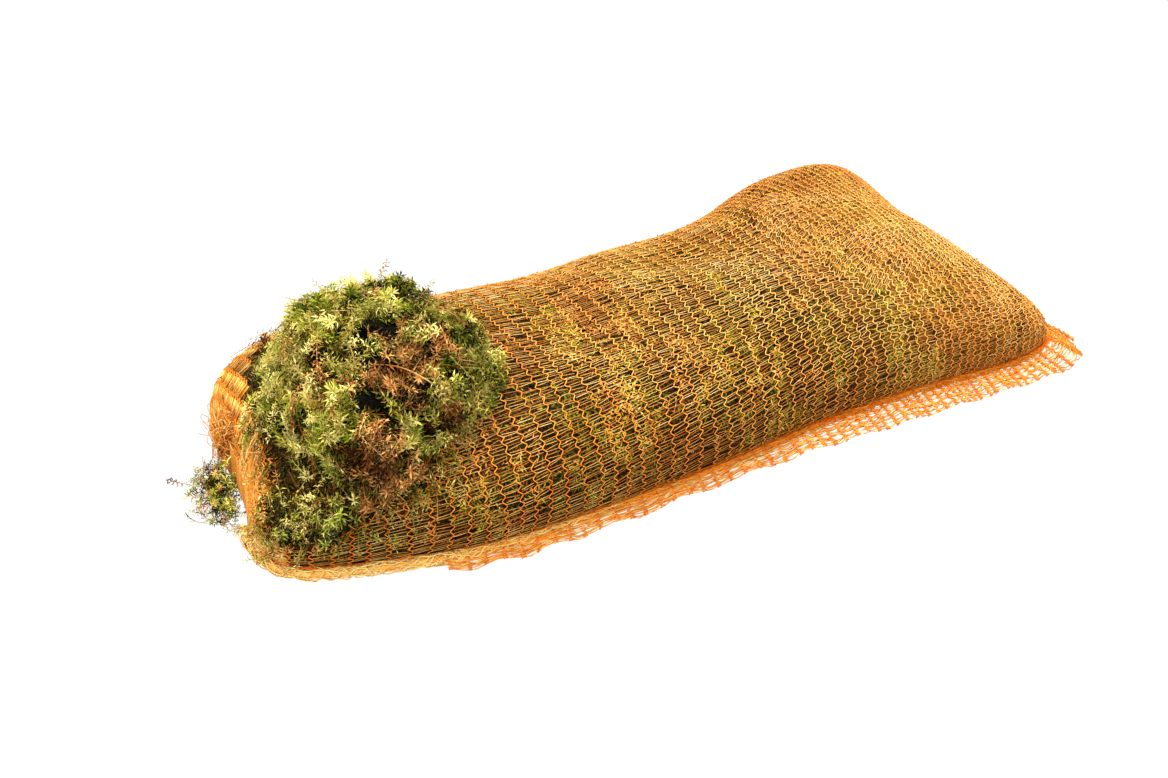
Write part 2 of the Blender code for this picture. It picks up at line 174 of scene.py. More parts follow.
# The sewn seam and the frill of net beyond it. Shares run from 0 at the seam's left end to 1 at its right.
SEAM_AROUND = math.radians(203)
SEAM_END_AROUND = math.radians(186)
SEAM_LEFT = -0.985
SEAM_RIGHT = 0.90
SEAM_CLIMB_START = 0.90
SEAM_RADIUS = 0.0016
SEAM_CLEARANCE = 0.0009
ROLL_RADIUS = 0.0034
ROLL_FULL_TO = 0.24
ROLL_THINS_OVER = 0.20
FRILL_START = 0.22
FRILL_FIRST = 0.0025
FRILL_OPENS_OVER = 0.16
FRILL_NARROW = 0.0065
FRILL_WIDE = 0.0195
FRILL_GROWS_FROM = 0.50
FRILL_GROWS_OVER = 0.22
FRILL_FLOOR_Z = 0.0014
FRILL_LOWEST_Z = 0.0012
RUFFLES = 17
RUFFLE_DRIFT = 0.8
RUFFLE_DRIFTS = 3
RUFFLE_REACH = 0.06
RUFFLE_HEIGHT = 0.004
FLARE_START = 0.90
FLARE_EXTRA = 0.002
FLARE_LIFT = 0.002

# The net's gauge: how far apart its pillars stand at the left and right ends, and their stitches all round.
PILLAR_GAP_LEFT = 0.0106
PILLAR_GAP_RIGHT = 0.0058
PILLAR_END_MARGIN = 0.004
STITCHES_LEFT = 92
STITCHES_RIGHT = 150
TIGHTER_FROM = 0.50
TIGHTER_OVER = 0.28
CORNER_LEAN = -0.26
THREAD_CLIMB = 0.20
CORNER_SPREAD = 0.09
PILLAR_RADIUS = 0.00037
FILAMENT_RADIUS = 0.00022
HEM_FILAMENT_RADIUS = 0.00026
ZIGZAG_LEFT = 0.105
ZIGZAG_RIGHT = 0.135
NET_LIFT = 0.0005

# The net closed over the sack's two ends: its strands at each, how far it bulges, the share of a strand that
# lies on the flat of the end, the share of the width that they cover, their points, and the threads across.
LEFT_END_STRANDS = 60
RIGHT_END_STRANDS = 84
END_BULGE = 0.0022
END_SHARE = 0.5
END_WIDTH = 0.97
END_STITCHES = 22
END_LEVELS = 11

# How much there is of each kind of moss and of loose net.
PRESSED_SHOOTS = 7200
PRESSED_LEAVES = 12
TUSSOCKS = 290
SHOOTS_IN_TUSSOCK = 4
SPILLED_SHOOTS = 150
RIM_SHOOTS = 64
HOLLOW_SHOOTS = 56
TUFT_SHOOTS = 120
CRUMBS = 30
TORN_ENDS = 260
BUNCH_STRANDS = 420
BUNCH_LOOPS = 12
HEM_STRANDS_DOWN = 34
HEM_STRANDS_ACROSS = 560

# The radii of the loose threads and of the bare stem.
TORN_END_RADIUS = 0.00024
BUNCH_RADIUS = 0.00026
LOOP_RADIUS = 0.00034
HEM_DOWN_RADIUS = 0.00034
HEM_ACROSS_RADIUS = 0.00027
RUNG_RADIUS = 0.00062
FRILL_THREAD_RADIUS = 0.00044
TUCKED_NET_RADIUS = 0.0018
BARE_STEM_RADIUS = 0.00042

# Each kind of shoot's leaves: how many there are, their length and width, and the radius of the stem.
LEAVES = {
    "clump": (52, 0.0053, 0.00112, 0.00035),
    "inner": (40, 0.0053, 0.00112, 0.00035),
    "spilled": (22, 0.0038, 0.0009, 0.00028),
    "rim": (18, 0.0034, 0.0008, 0.00025),
    "hollow": (26, 0.0048, 0.0011, 0.00035),
    "sprig": (34, 0.0036, 0.0011, 0.0004),
    "tuft": (26, 0.0034, 0.0009, 0.0003),
    "crumb": (12, 0.0026, 0.0008, 0.00025),
}

# How leaves stand on a stem: where the first sits, the golden angle from one to the next, how far they spread
# and close towards the tip, how much lighter the leaves at the tip are, and how much painted shade darkens the
# lowest. What strays is how much a leaf differs by chance.
FIRST_LEAF = 0.08
LEAF_TURN = math.radians(137.5)
LEAF_TURN_STRAYS = 0.25
LEAF_SPREAD = 1.15
LEAF_SPREAD_STRAYS = 0.22
LEAF_CLOSES = 0.50
TIP_LIGHTER = 0.14
BASE_PAINTED_SHADE = 0.46
LEAF_TONE_STRAYS = 0.06
STEM_TONE = 0.20

# The mat under the net and the clump's heart: how far they are sunk and how rough they are. How deep the
# clump's inner layer lies, and the lowest point of anything drawn.
BED_DEPTH = 0.0024
BED_ROUGHNESS = 0.0016
BED_LOWEST_Z = 0.0010
CORE_SHARE = 0.77
CORE_ROUGHNESS = 0.16
CORE_LOWEST_Z = 0.020
INNER_DEPTH = 0.009
LOWEST_Z = 0.0004

# Where a leaf's tones are brown and green on its ramp, and the place between them.
BROWN_TONES = (0.02, 0.35)
BETWEEN_TONES = 0.38
GREEN_TONES = (0.41, 0.93)

BLACK = (0.0, 0.0, 0.0, 1.0)
WHITE = (1.0, 1.0, 1.0, 1.0)


def ease(t):
    """Goes from 0 to 1 with level ends."""
    t = np.clip(t, 0.0, 1.0)
    return t * t * (3.0 - 2.0 * t)


def unit(rows):
    """Rows of x, y, z at length one."""
    return rows / np.maximum(np.linalg.norm(rows, axis=-1, keepdims=True), 1e-12)


def dotted(first, second):
    """The dot product of rows with rows, kept as a column."""
    return (first * second).sum(axis=-1, keepdims=True)


def squared_off(way, axis):
    """Ways turned square to an axis, by taking their part along it away."""
    return unit(way - axis * dotted(way, axis))


def through_stations(values, x):
    """A smooth curve through one value per station (a cubic between neighbours, flat past both ends)."""
    stations = np.array(STATION_X)
    values = np.array(values)
    x = np.clip(x, stations[0], stations[-1])
    slopes = np.gradient(values, stations)
    left = np.clip(np.searchsorted(stations, x, side="right") - 1, 0, len(stations) - 2)
    span = stations[left + 1] - stations[left]
    t = (x - stations[left]) / span
    rise = values[left] * (2 * t**3 - 3 * t**2 + 1) + values[left + 1] * (3 * t**2 - 2 * t**3)
    bend = slopes[left] * (t**3 - 2 * t**2 + t) + slopes[left + 1] * (t**3 - t**2)
    return rise + bend * span


def rounded(value, power):
    """A signed power, which squares off a circle's sine or cosine."""
    return np.sign(value) * np.abs(value) ** (2.0 / power)


def nose(distance, length, power):
    """How far a section has opened at a distance from the sack's end: 0 at the tip, 1 past the nose."""
    t = np.clip(1.0 - distance / length, 0.0, 1.0)
    return (1.0 - t**power) ** (1.0 / power)


def sack_surface(along, around):
    """The sack's outside: a rounded section carried through the stations.

    along runs from -1 at the left tip to 1 at the right, around from 0 at the far side over the top.
    Across, the section is the half width times a power of the cosine; up, the height over the waist times a
    power of the sine.
    """
    along, around = np.broadcast_arrays(along, around)
    middle = (SACK_LEFT_X + SACK_RIGHT_X) / 2
    x = middle + (SACK_RIGHT_X - SACK_LEFT_X) / 2 * along
    near = through_stations(NEAR_SIDE_Y, x)
    far = through_stations(FAR_SIDE_Y, x)
    top = through_stations(TOP_Z, x)
    waist = top * WAIST_SHARE
    from_left = x - SACK_LEFT_X
    from_right = SACK_RIGHT_X - x
    width = nose(from_left, LEFT_NOSE_LENGTH, LEFT_WIDTH_BLUNTNESS)
    width = width * nose(from_right, RIGHT_NOSE_LENGTH, RIGHT_WIDTH_BLUNTNESS)
    height = nose(from_left, LEFT_NOSE_LENGTH, LEFT_HEIGHT_BLUNTNESS)
    height = height * nose(from_right, RIGHT_NOSE_LENGTH, RIGHT_HEIGHT_BLUNTNESS)
    squared = ease((x - EAR_START_X) / (SACK_RIGHT_X - EAR_START_X))
    across = rounded(np.cos(around), SIDE_ROUNDNESS + (RIGHT_SIDE_ROUNDNESS - SIDE_ROUNDNESS) * squared)
    rise = np.sin(around)
    y = (near + far) / 2 + (far - near) / 2 * width * across
    upper = waist + (top - waist) * height * rounded(np.maximum(rise, 0.0), TOP_ROUNDNESS)
    lower = waist - (waist + BOTTOM_DIP) * height * rounded(np.maximum(-rise, 0.0), BOTTOM_FLATNESS)
    z = np.where(rise >= 0.0, upper, lower)
    wave = math.pi / LUMP_LENGTH
    lump = np.sin(wave * (x + LUMP_SLANT * y)) * np.sin(wave * (y - LUMP_SLANT * x))
    z = np.maximum(z + LUMP_HEIGHT * lump * height * np.clip(rise, 0.0, 1.0), 0.0)
    ear = FAR_EAR_REACH * np.maximum(across, 0.0) ** 2 + NEAR_EAR_REACH * np.maximum(-across, 0.0) ** 2
    slanted = ease((LEFT_END_FROM_X - x) / (LEFT_END_FROM_X - SACK_LEFT_X))
    left_end = LEFT_END_SLANT * across - LEFT_CORNER_REACH * np.maximum(-across, 0.0) ** 2
    x = x + ear * squared + left_end * width * slanted
    return np.stack([x, y, z], axis=-1) - MIDDLE


def surface_frame(along, around):
    """A point of the sack's outside, the way out of it, and the unit ways along it and round it."""
    step = 0.0015
    along = np.clip(along, -FRAMED_TO, FRAMED_TO)
    run = unit(sack_surface(along + step, around) - sack_surface(along - step, around))
    turn = unit(sack_surface(along, around + step) - sack_surface(along, around - step))
    out = unit(np.cross(turn, run))
    return sack_surface(along, around), out, run, turn


class Girths:
    """A table of where each share of the sack's girth lies, measured from the seam up over the top."""

    ROWS = 181
    SHARES = 289
    TURNS = 721
    EDGE = math.asin(TIP)

    def __init__(self):
        self.rows = np.sin(np.linspace(-self.EDGE, self.EDGE, self.ROWS))
        turns = SEAM_AROUND - np.linspace(0.0, 2 * math.pi, self.TURNS)
        points = sack_surface(self.rows[:, None], turns[None, :])
        steps = np.linalg.norm(np.diff(points, axis=1), axis=-1)
        lengths = np.concatenate([np.zeros((self.ROWS, 1)), np.cumsum(steps, axis=1)], axis=1)
        self.lengths = lengths[:, -1]
        shares = np.linspace(0.0, 1.0, self.SHARES)
        self.turns = np.stack([np.interp(shares, row / row[-1], turns) for row in lengths])

    def around(self, along, share):
        """The turn round the sack at a share of its girth (read between the table's rows and columns)."""
        along, share = np.broadcast_arrays(along, share)
        row = (np.arcsin(np.clip(along, self.rows[0], self.rows[-1])) / self.EDGE + 1) / 2 * (self.ROWS - 1)
        column = np.mod(share, 1.0) * (self.SHARES - 1)
        i = np.clip(row.astype(int), 0, self.ROWS - 2)
        j = np.clip(column.astype(int), 0, self.SHARES - 2)
        a, b = row - i, column - j
        upper = self.turns[i, j] * (1 - b) + self.turns[i, j + 1] * b
        lower = self.turns[i + 1, j] * (1 - b) + self.turns[i + 1, j + 1] * b
        return upper * (1 - a) + lower * a

    def length(self, along):
        """The girth at a place along the sack."""
        return np.interp(along, self.rows, self.lengths)


GIRTHS = Girths()


def pillar_places():
    """Where the net's pillars cross the sack: even steps of its length, closer over its right part.

    The length is a mix of the top line's and the near side's, so that the steps look even on both.
    """
    along = np.sin(np.linspace(-math.pi / 2, math.pi / 2, 4001))
    steps = np.zeros(4000)
    for around, weight in ((math.pi / 2, 0.35), (math.radians(165), 0.65)):
        steps += weight * np.linalg.norm(np.diff(sack_surface(along, around), axis=0), axis=1)
    length = np.concatenate([[0.0], np.cumsum(steps)])
    whole = length[-1]
    tighter = ease((length / whole - TIGHTER_FROM) / TIGHTER_OVER)
    gap = PILLAR_GAP_LEFT + (PILLAR_GAP_RIGHT - PILLAR_GAP_LEFT) * tighter
    counted = np.concatenate([[0.0], np.cumsum(np.diff(length) / gap[1:])])
    first = np.interp(PILLAR_END_MARGIN, length, counted)
    last = np.interp(whole - PILLAR_END_MARGIN, length, counted)
    return np.interp(np.linspace(first, last, int(last - first) + 1), counted, along)


PILLARS = pillar_places()
PILLAR_SHARE = np.arange(len(PILLARS)) / len(PILLARS)
NET_TIGHTNESS = ease((PILLAR_SHARE - TIGHTER_FROM) / TIGHTER_OVER)
STITCHES = np.round(STITCHES_LEFT + (STITCHES_RIGHT - STITCHES_LEFT) * NET_TIGHTNESS)
ZIGZAG = ZIGZAG_LEFT + (ZIGZAG_RIGHT - ZIGZAG_LEFT) * ease((PILLAR_SHARE - 0.2) / 0.4)
FIRST_CORNER = np.mod(np.arange(len(PILLARS)) * (THREAD_CLIMB - 0.5), 1.0)


def net_frame(column, share):
    """Point, way out, way along and way round on the net. column counts pillars from the left end."""
    along = np.interp(column, np.arange(len(PILLARS)), PILLARS)
    return surface_frame(along, GIRTHS.around(along, share))


def squared_away(points, place):
    """The squared distance of points from a place of the design frame."""
    return ((points + MIDDLE - np.array(place)) ** 2).sum(axis=-1)


def near_spots(points, spots):
    """How near points lie to spots given as x, y, z and radius: 1 in a spot's middle, fading to 0 outside."""
    nearest = np.zeros(points.shape[:-1])
    for *place, radius in spots:
        nearest = np.maximum(nearest, np.exp(-squared_away(points, place) / radius**2))
    return nearest


def low_flank_shade(point):
    """How much painted shade falls on a place low on the sack's flank, right of the clump: 0 above, 1 at the
    floor.
    """
    return (1.0 - ease(point[..., 2] / 0.090)) * ease((point[..., 0] + 0.16) / 0.14)


def rightness(point):
    """How far right a place on the sack lies: 0 in the left half, 1 towards the right end."""
    return ease((point[..., 0] - 0.05) / 0.20)


def patches(points, size, seed):
    """Smooth random patches, 0 to 1: random values on a lattice of that size, eased between its corners."""
    values = np.random.default_rng(seed).random((16, 16, 16))
    p = points / size + 64.0
    cell = np.floor(p).astype(int)
    t = ease(p - cell)
    total = np.zeros(points.shape[:-1])
    for corner in np.ndindex(2, 2, 2):
        place = (cell + corner) % 16
        weight = np.prod(np.where(np.array(corner) == 1, t, 1 - t), axis=-1)
        total = total + weight * values[place[..., 0], place[..., 1], place[..., 2]]
    return total


def in_mouth(points, growth=0.0):
    """True inside the tear, grown by a distance.

    It is a turned egg seen from above, over a floor that climbs to the right, and two balls at the near
    left corner.
    """
    offset = points[..., :2] + MIDDLE[:2] - np.array(MOUTH_CENTRE)
    x = offset[..., 0] * math.cos(MOUTH_TURN) + offset[..., 1] * math.sin(MOUTH_TURN)
    y = offset[..., 1] * math.cos(MOUTH_TURN) - offset[..., 0] * math.sin(MOUTH_TURN)
    across = x / (MOUTH_HALF_LENGTH + growth)
    down = y / ((MOUTH_HALF_WIDTH + growth) * (1.0 - MOUTH_EGG * np.clip(across, -1.2, 1.2)))
    floor = MOUTH_LOWEST_Z - growth + MOUTH_CLIMB * (offset[..., 0] + MOUTH_HALF_LENGTH)
    torn = (across**2 + down**2 < 1.0) & (points[..., 2] > floor)
    for *place, radius in WIDER_TEAR:
        torn = torn | (squared_away(points, place) < max(radius + growth, 0.0) ** 2)
    return torn


def clear_of_mouth(paths, growth):
    """Which steps of the paths have neither end inside the tear, grown by a distance."""
    inside = in_mouth(paths, growth)
    return ~(inside[:, 1:] | inside[:, :-1])


def sunk_by_hollow(point):
    """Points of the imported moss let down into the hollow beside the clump."""
    offset = point[..., :2] + MIDDLE[:2] - np.array(HOLLOW_CENTRE)
    depth = HOLLOW_DEPTH * np.exp(-(offset**2).sum(axis=-1) / HOLLOW_RADIUS**2)
    sunk = point.copy()
    sunk[..., 2] -= depth * ease((point[..., 2] - HOLLOW_FLOOR_Z) / HOLLOW_FADE)
    return sunk


def tube_triangles(number, keep):
    """The walls along the steps that are kept, and a fan over each end of them.

    number is (threads, points, sides): the number of each corner of each ring. keep is (threads, points - 1).
    """
    here, there = number[:, :-1][keep], number[:, 1:][keep]
    here_next, there_next = np.roll(here, -1, axis=1), np.roll(there, -1, axis=1)
    gone = np.zeros((len(keep), 1), bool)
    starts = keep & ~np.concatenate([gone, keep[:, :-1]], axis=1)
    ends = keep & ~np.concatenate([keep[:, 1:], gone], axis=1)
    first, last = number[:, :-1][starts], number[:, 1:][ends]
    corners = range(1, number.shape[2] - 1)
    return np.concatenate([
        np.stack([here, here_next, there_next], axis=-1).reshape(-1, 3),
        np.stack([here, there_next, there], axis=-1).reshape(-1, 3),
        *[np.stack([first[:, 0], first[:, k + 1], first[:, k]], axis=-1) for k in corners],
        *[np.stack([last[:, 0], last[:, k], last[:, k + 1]], axis=-1) for k in corners],
    ])


def tubes(paths, radius, sides, tone, keep=None, reference=None):
    """Carries a regular polygon along each path, with its ends closed.

    paths is (threads, points, 3). At each point the polygon's corners are the point plus the radius times
    cosine and sine of their angle, in the plane across the path. The first corner is square to reference,
    and keep says which steps of a path are drawn.
    """
    threads, points, _ = paths.shape
    ahead = unit(np.gradient(paths, axis=1))
    if reference is None:
        overall = np.abs(unit(paths[:, -1] - paths[:, 0]))
        reference = np.eye(3)[np.argmin(overall, axis=1)][:, None, :]
    side = unit(np.cross(ahead, reference))
    up = np.cross(side, ahead)
    angle = np.arange(sides) * 2 * math.pi / sides
    radius = np.broadcast_to(np.asarray(radius, float), (threads, points))[..., None, None]
    ring = side[:, :, None] * np.cos(angle)[:, None] + up[:, :, None] * np.sin(angle)[:, None]
    vertices = paths[:, :, None] + ring * radius
    if keep is None:
        keep = np.ones((threads, points - 1), bool)
    number = np.arange(threads * points * sides).reshape(threads, points, sides)
    share = np.broadcast_to(np.linspace(0.0, 1.0, points)[None, :, None], (threads, points, sides))
    hue = np.broadcast_to(np.asarray(tone, float).reshape(threads, -1)[:, :, None], (threads, points, sides))
    hue = hue + (np.arange(sides) / sides - 0.5) * 0.02
    finish = np.stack([np.clip(hue, 0.005, 0.995), share], axis=-1)
    return vertices.reshape(-1, 3), tube_triangles(number, keep), finish.reshape(-1, 2)


def blades(base, ahead, curl_to, length, width, curl, tone, widest):
    """Pointed leaves that bend as they go, two triangles each.

    A leaf's middle line is an arc of the angle curl that sets out ahead and turns towards curl_to. Its
    width is nothing at its base and its tip, and full at the share widest of its way.
    """
    across = unit(np.cross(ahead, curl_to)) * np.asarray(width, float).reshape(-1, 1) * 0.5
    curl = np.maximum(np.asarray(curl, float), 1e-3).reshape(-1, 1)
    length = np.asarray(length, float).reshape(-1, 1)

    def middle(t):
        return base + length / curl * (ahead * np.sin(curl * t) + curl_to * (1 - np.cos(curl * t)))

    vertices = np.stack([base, middle(widest) + across, middle(widest) - across, middle(1.0)], axis=1)
    triangles = np.array([(0, 1, 2), (1, 3, 2)]) + 4 * np.arange(len(base))[:, None, None]
    hue = np.asarray(tone, float).reshape(-1, 1) + np.array([0.0, 0.006, -0.006, 0.0])
    along = np.broadcast_to([0.0, widest, widest, 1.0], hue.shape)
    finish = np.stack([np.clip(hue, 0.005, 0.995), along], axis=-1)
    return vertices.reshape(-1, 3), triangles.reshape(-1, 3), finish.reshape(-1, 2)


def random_tones(rng, middle, spread, shape):
    """Threads' tones: round a middle, by chance."""
    return np.clip(rng.normal(middle, spread, shape), 0, 1)


def green_or_brown(rng, count, brown_share, browns, greens):
    """Shoots' tones: a share of them among the browns, the others among the greens."""
    brown = rng.random(count) < brown_share
    return np.where(brown, rng.uniform(*browns, count), rng.uniform(*greens, count))


def shaded(tone, change):
    """A leaf's tone moved by a change, and kept green if it was green and brown if it was brown."""
    moved = tone + change
    return np.where(tone > BETWEEN_TONES, np.clip(moved, *GREEN_TONES), np.clip(moved, *BROWN_TONES))


def leaf_ways(ahead, side, t, rng):
    """The way each leaf sets out and the way it curls, for leaves at shares t of their stems.

    side is square to the stem's way ahead. A leaf lies at an angle round the stem, and spreads from it.
    """
    up = np.cross(side, ahead)
    angle = np.arange(t.shape[1]) * LEAF_TURN + rng.uniform(0, 2 * math.pi, (len(t), 1))
    angle = (angle + rng.normal(0.0, LEAF_TURN_STRAYS, t.shape))[..., None]
    radial = side * np.cos(angle) + up * np.sin(angle)
    spread = LEAF_SPREAD - LEAF_CLOSES * t**5
    spread = (spread + rng.normal(0.0, LEAF_SPREAD_STRAYS, t.shape))[..., None]
    outward = ahead * np.cos(spread) + radial * np.sin(spread)
    back = radial * np.cos(spread) - ahead * np.sin(spread)
    return outward, back


def shoots(base, start, bend, length, tone, rng, kind):
    """Feathery moss shoots: a bent stem, and leaves set round it in a spiral that spread and curl back.

    The stem is base + length (t start + t² bend). A leaf leaves it at an angle that closes a little towards
    the tip, and is turned by the golden angle from the one before. Painted shade darkens leaves low on a stem.
    """
    leaves, leaf_length, leaf_width, stem_radius = LEAVES[kind]
    count = len(base)
    length = np.asarray(length, float).reshape(-1, 1, 1)
    tone = np.asarray(tone, float).reshape(-1, 1)

    def stem(t):
        return base[:, None] + length * (start[:, None] * t[..., None] + bend[:, None] * t[..., None] ** 2)

    taper = np.array([1.0, 0.9, 0.75, 0.5]) * stem_radius
    stem_paths = stem(np.broadcast_to(np.linspace(0.0, 0.97, 4), (count, 4)))
    stems = tubes(stem_paths, np.broadcast_to(taper, (count, 4)), 3, np.full(count, STEM_TONE))
    t = np.broadcast_to(np.linspace(FIRST_LEAF, 1.0, leaves) ** 0.85, (count, leaves))
    t = np.clip(t + rng.normal(0.0, 0.008, t.shape), 0.0, 1.0)
    place = stem(t)
    ahead = unit(start[:, None] + 2 * bend[:, None] * t[..., None])
    side = unit(np.cross(ahead, np.eye(3)[np.argmin(np.abs(start), axis=1)][:, None]))
    outward, back = leaf_ways(ahead, side, t, rng)
    size = (1.0 - 0.15 * t**6) * rng.uniform(0.65, 1.30, t.shape)
    # Painted shade: leaves low on a stem are darker.
    hue = shaded(tone, TIP_LIGHTER - BASE_PAINTED_SHADE * (1 - t) + rng.normal(0.0, LEAF_TONE_STRAYS, t.shape))
    points, triangles, finish = blades(
        place.reshape(-1, 3), outward.reshape(-1, 3), back.reshape(-1, 3),
        (leaf_length * size).ravel(), (leaf_width * size**0.5).ravel(),
        rng.uniform(0.8, 2.2, t.size), hue.ravel(), widest=0.45,
    )
    finish[:, 1] *= np.repeat(0.25 + 0.75 * t.ravel(), len(points) // t.size)
    return [stems, (points, triangles, finish)]


def joined(parts):
    """Several meshes as one, without the points that no triangle uses."""
    starts = np.cumsum([0] + [len(part[0]) for part in parts[:-1]])
    vertices = np.concatenate([part[0] for part in parts])
    triangles = np.concatenate([part[1] + start for part, start in zip(parts, starts)])
    finish = np.concatenate([part[2] for part in parts])
    used, triangles = np.unique(triangles, return_inverse=True)
    return vertices[used], triangles.reshape(-1, 3), finish[used]


def new_mesh(name, vertices, triangles, finish):
    """A mesh of triangles, with each point's finish in two maps: one for its looks and one to bake on."""
    mesh = bpy.data.meshes.new(name)
    mesh.vertices.add(len(vertices))
    mesh.vertices.foreach_set("co", vertices.astype(np.float32).ravel())
    mesh.loops.add(triangles.size)
    mesh.loops.foreach_set("vertex_index", triangles.astype(np.int32).ravel())
    mesh.polygons.add(len(triangles))
    mesh.polygons.foreach_set("loop_start", np.arange(0, triangles.size, 3, dtype=np.int32))
    corner_finish = finish[triangles.ravel()].astype(np.float32).ravel()
    for layer in ("grain", "OFBake"):
        mesh.uv_layers.new(name=layer).uv.foreach_set("vector", corner_finish)
    mesh.update(calc_edges=True)
    mesh.validate()
    return mesh


def piece(name, parts, material, node=None, smooth=True):
    """Makes one named piece of several meshes, gives it its finish, and sets it in place of its solid."""
    vertices, triangles, finish = joined(parts)
    vertices[:, 2] = np.maximum(vertices[:, 2], LOWEST_Z)
    mesh = new_mesh(name, vertices, triangles, finish)
    if smooth:
        mesh.shade_smooth()
    mesh.materials.append(material)
    thing = bpy.data.objects.new(name, mesh)
    bpy.context.scene.collection.objects.link(thing)
    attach(thing, BODY)
    if node:
        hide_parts(node)
    print(f"{name}: {len(triangles)} triangles")
    return thing


def colour(red, green, blue):
    """A screen colour, 0 to 255, as the linear colour that a shader takes."""
    screen = np.array([red, green, blue]) / 255.0
    linear = np.where(screen <= 0.04045, screen / 12.92, ((screen + 0.055) / 1.055) ** 2.4)
    return (*linear, 1.0)


def stops(places, shades):
    """A colour ramp's stops: its places, and a screen colour for each."""
    return [(place, colour(*shade)) for place, shade in zip(places, shades)]


def new_material(name, roughness, shine):
    """A Principled material: its node tree and its shader."""
    material = bpy.data.materials.new(name)
    material.use_nodes = True
    tree = material.node_tree
    shader = tree.nodes["Principled BSDF"]
    shader.inputs["Roughness"].default_value = roughness
    shader.inputs["Specular IOR Level"].default_value = shine
    return material, tree, shader


def ramp(tree, factor, shades):
    """A colour ramp over a factor, with its stops given as place and colour."""
    node = tree.nodes.new("ShaderNodeValToRGB")
    node.color_ramp.elements[0].position, node.color_ramp.elements[0].color = shades[0]
    node.color_ramp.elements[1].position, node.color_ramp.elements[1].color = shades[-1]
    for place, shade in shades[1:-1]:
        node.color_ramp.elements.new(place).color = shade
    tree.links.new(factor, node.inputs["Fac"])
    return node.outputs["Color"]


def read_grain(tree):
    """The piece's own map: first its tone, then the way along a leaf or thread."""
    source = tree.nodes.new("ShaderNodeUVMap")
    source.uv_map = "grain"
    split = tree.nodes.new("ShaderNodeSeparateXYZ")
    tree.links.new(source.outputs["UV"], split.inputs["Vector"])
    return split.outputs["X"], split.outputs["Y"]


def mixed(tree, factor, first, second, blend="MIX"):
    """Mixes two colours, each a socket or a fixed colour."""
    node = tree.nodes.new("ShaderNodeMix")
    node.data_type = "RGBA"
    node.blend_type = blend
    for socket, value in ((node.inputs[0], factor), (node.inputs[6], first), (node.inputs[7], second)):
        if isinstance(value, bpy.types.NodeSocket):
            tree.links.new(value, socket)
        else:
            socket.default_value = value
    return node.outputs[2]


def noise(tree, scale, detail):
    """Noise on the object's own coordinates."""
    place = tree.nodes.new("ShaderNodeTexCoord")
    node = tree.nodes.new("ShaderNodeTexNoise")
    node.inputs["Scale"].default_value = scale
    node.inputs["Detail"].default_value = detail
    tree.links.new(place.outputs["Object"], node.inputs["Vector"])
    return node.outputs["Fac"]


def fine_grain(tree, shader, scale, strength, distance):
    """Fine noise as the shader's bump, and as a value for its colour."""
    grain = noise(tree, scale, 3.0)
    bump = tree.nodes.new("ShaderNodeBump")
    bump.inputs["Strength"].default_value = strength
    bump.inputs["Distance"].default_value = distance
    tree.links.new(grain, bump.inputs["Height"])
    tree.links.new(bump.outputs["Normal"], shader.inputs["Normal"])
    return grain


# A leaf's tones: browns from near black to tan up to 0.36, then greens from near black to cream.
LEAF_TONES = (0.00, 0.12, 0.24, 0.36, 0.40, 0.52, 0.66, 0.80, 0.90, 1.00)
FRESH_TONES = stops(LEAF_TONES, (
    (12, 7, 3), (58, 30, 10), (140, 78, 28), (216, 150, 78),
    (8, 12, 2), (54, 76, 8), (124, 134, 28), (184, 176, 66), (214, 198, 106), (236, 220, 146),
))
PRESSED_TONES = stops(LEAF_TONES, (
    (12, 7, 3), (60, 28, 8), (140, 74, 30), (212, 142, 66),
    (10, 10, 2), (56, 60, 6), (118, 112, 18), (174, 150, 46), (208, 172, 80), (234, 200, 118),
))


def leaf_material(name, tones, tip, tip_share):
    """Moss leaf: its tone from the ramp, and a paler tip, partly its own colour and partly painted glow of
    light through it.
    """
    material, tree, shader = new_material(name, 0.7, 0.04)
    tone, along = read_grain(tree)
    # The tip colour is screened on: partly the leaf's pale tip, partly painted glow of light through it.
    towards_tip = ramp(tree, along, ((0.35, BLACK), (1.0, (tip_share, tip_share, tip_share, 1.0))))
    shade = mixed(tree, towards_tip, ramp(tree, tone, tones), colour(*tip), "SCREEN")
    tree.links.new(shade, shader.inputs["Base Color"])
    fine_grain(tree, shader, 900.0, 0.25, 0.0004)
    return material


def thread_material(name, tones, roughness=0.45, scale=1400.0):
    """Plastic thread: its tone from the ramp, with fine stretch marks and a soft shine."""
    material, tree, shader = new_material(name, roughness, 0.14)
    tone, _ = read_grain(tree)
    grain = fine_grain(tree, shader, scale, 0.3, 0.0003)
    worn = ramp(tree, grain, ((0.35, colour(214, 206, 196)), (0.70, WHITE)))
    shade = mixed(tree, 1.0, ramp(tree, tone, tones), worn, "MULTIPLY")
    tree.links.new(shade, shader.inputs["Base Color"])
    return material


def mat_material(name, dark, brown, green, light):
    """A mat of old moss in brown and green, with painted shade in its bump's hollows and lightened by its own
    map.
    """
    material, tree, shader = new_material(name, 0.95, 0.05)
    choice = ramp(tree, noise(tree, 90.0, 5.0), stops((0.42, 0.56), (brown, green)))
    fine = fine_grain(tree, shader, 330.0, 0.9, 0.003)
    # Painted shade: near-black where the fine bump sinks.
    depth = ramp(tree, fine, ((0.42, BLACK), (0.62, WHITE)))
    tan_and_painted_light, _ = read_grain(tree)
    shade = mixed(tree, tan_and_painted_light, mixed(tree, depth, colour(*dark), choice), colour(*light))
    tree.links.new(shade, shader.inputs["Base Color"])
    return material


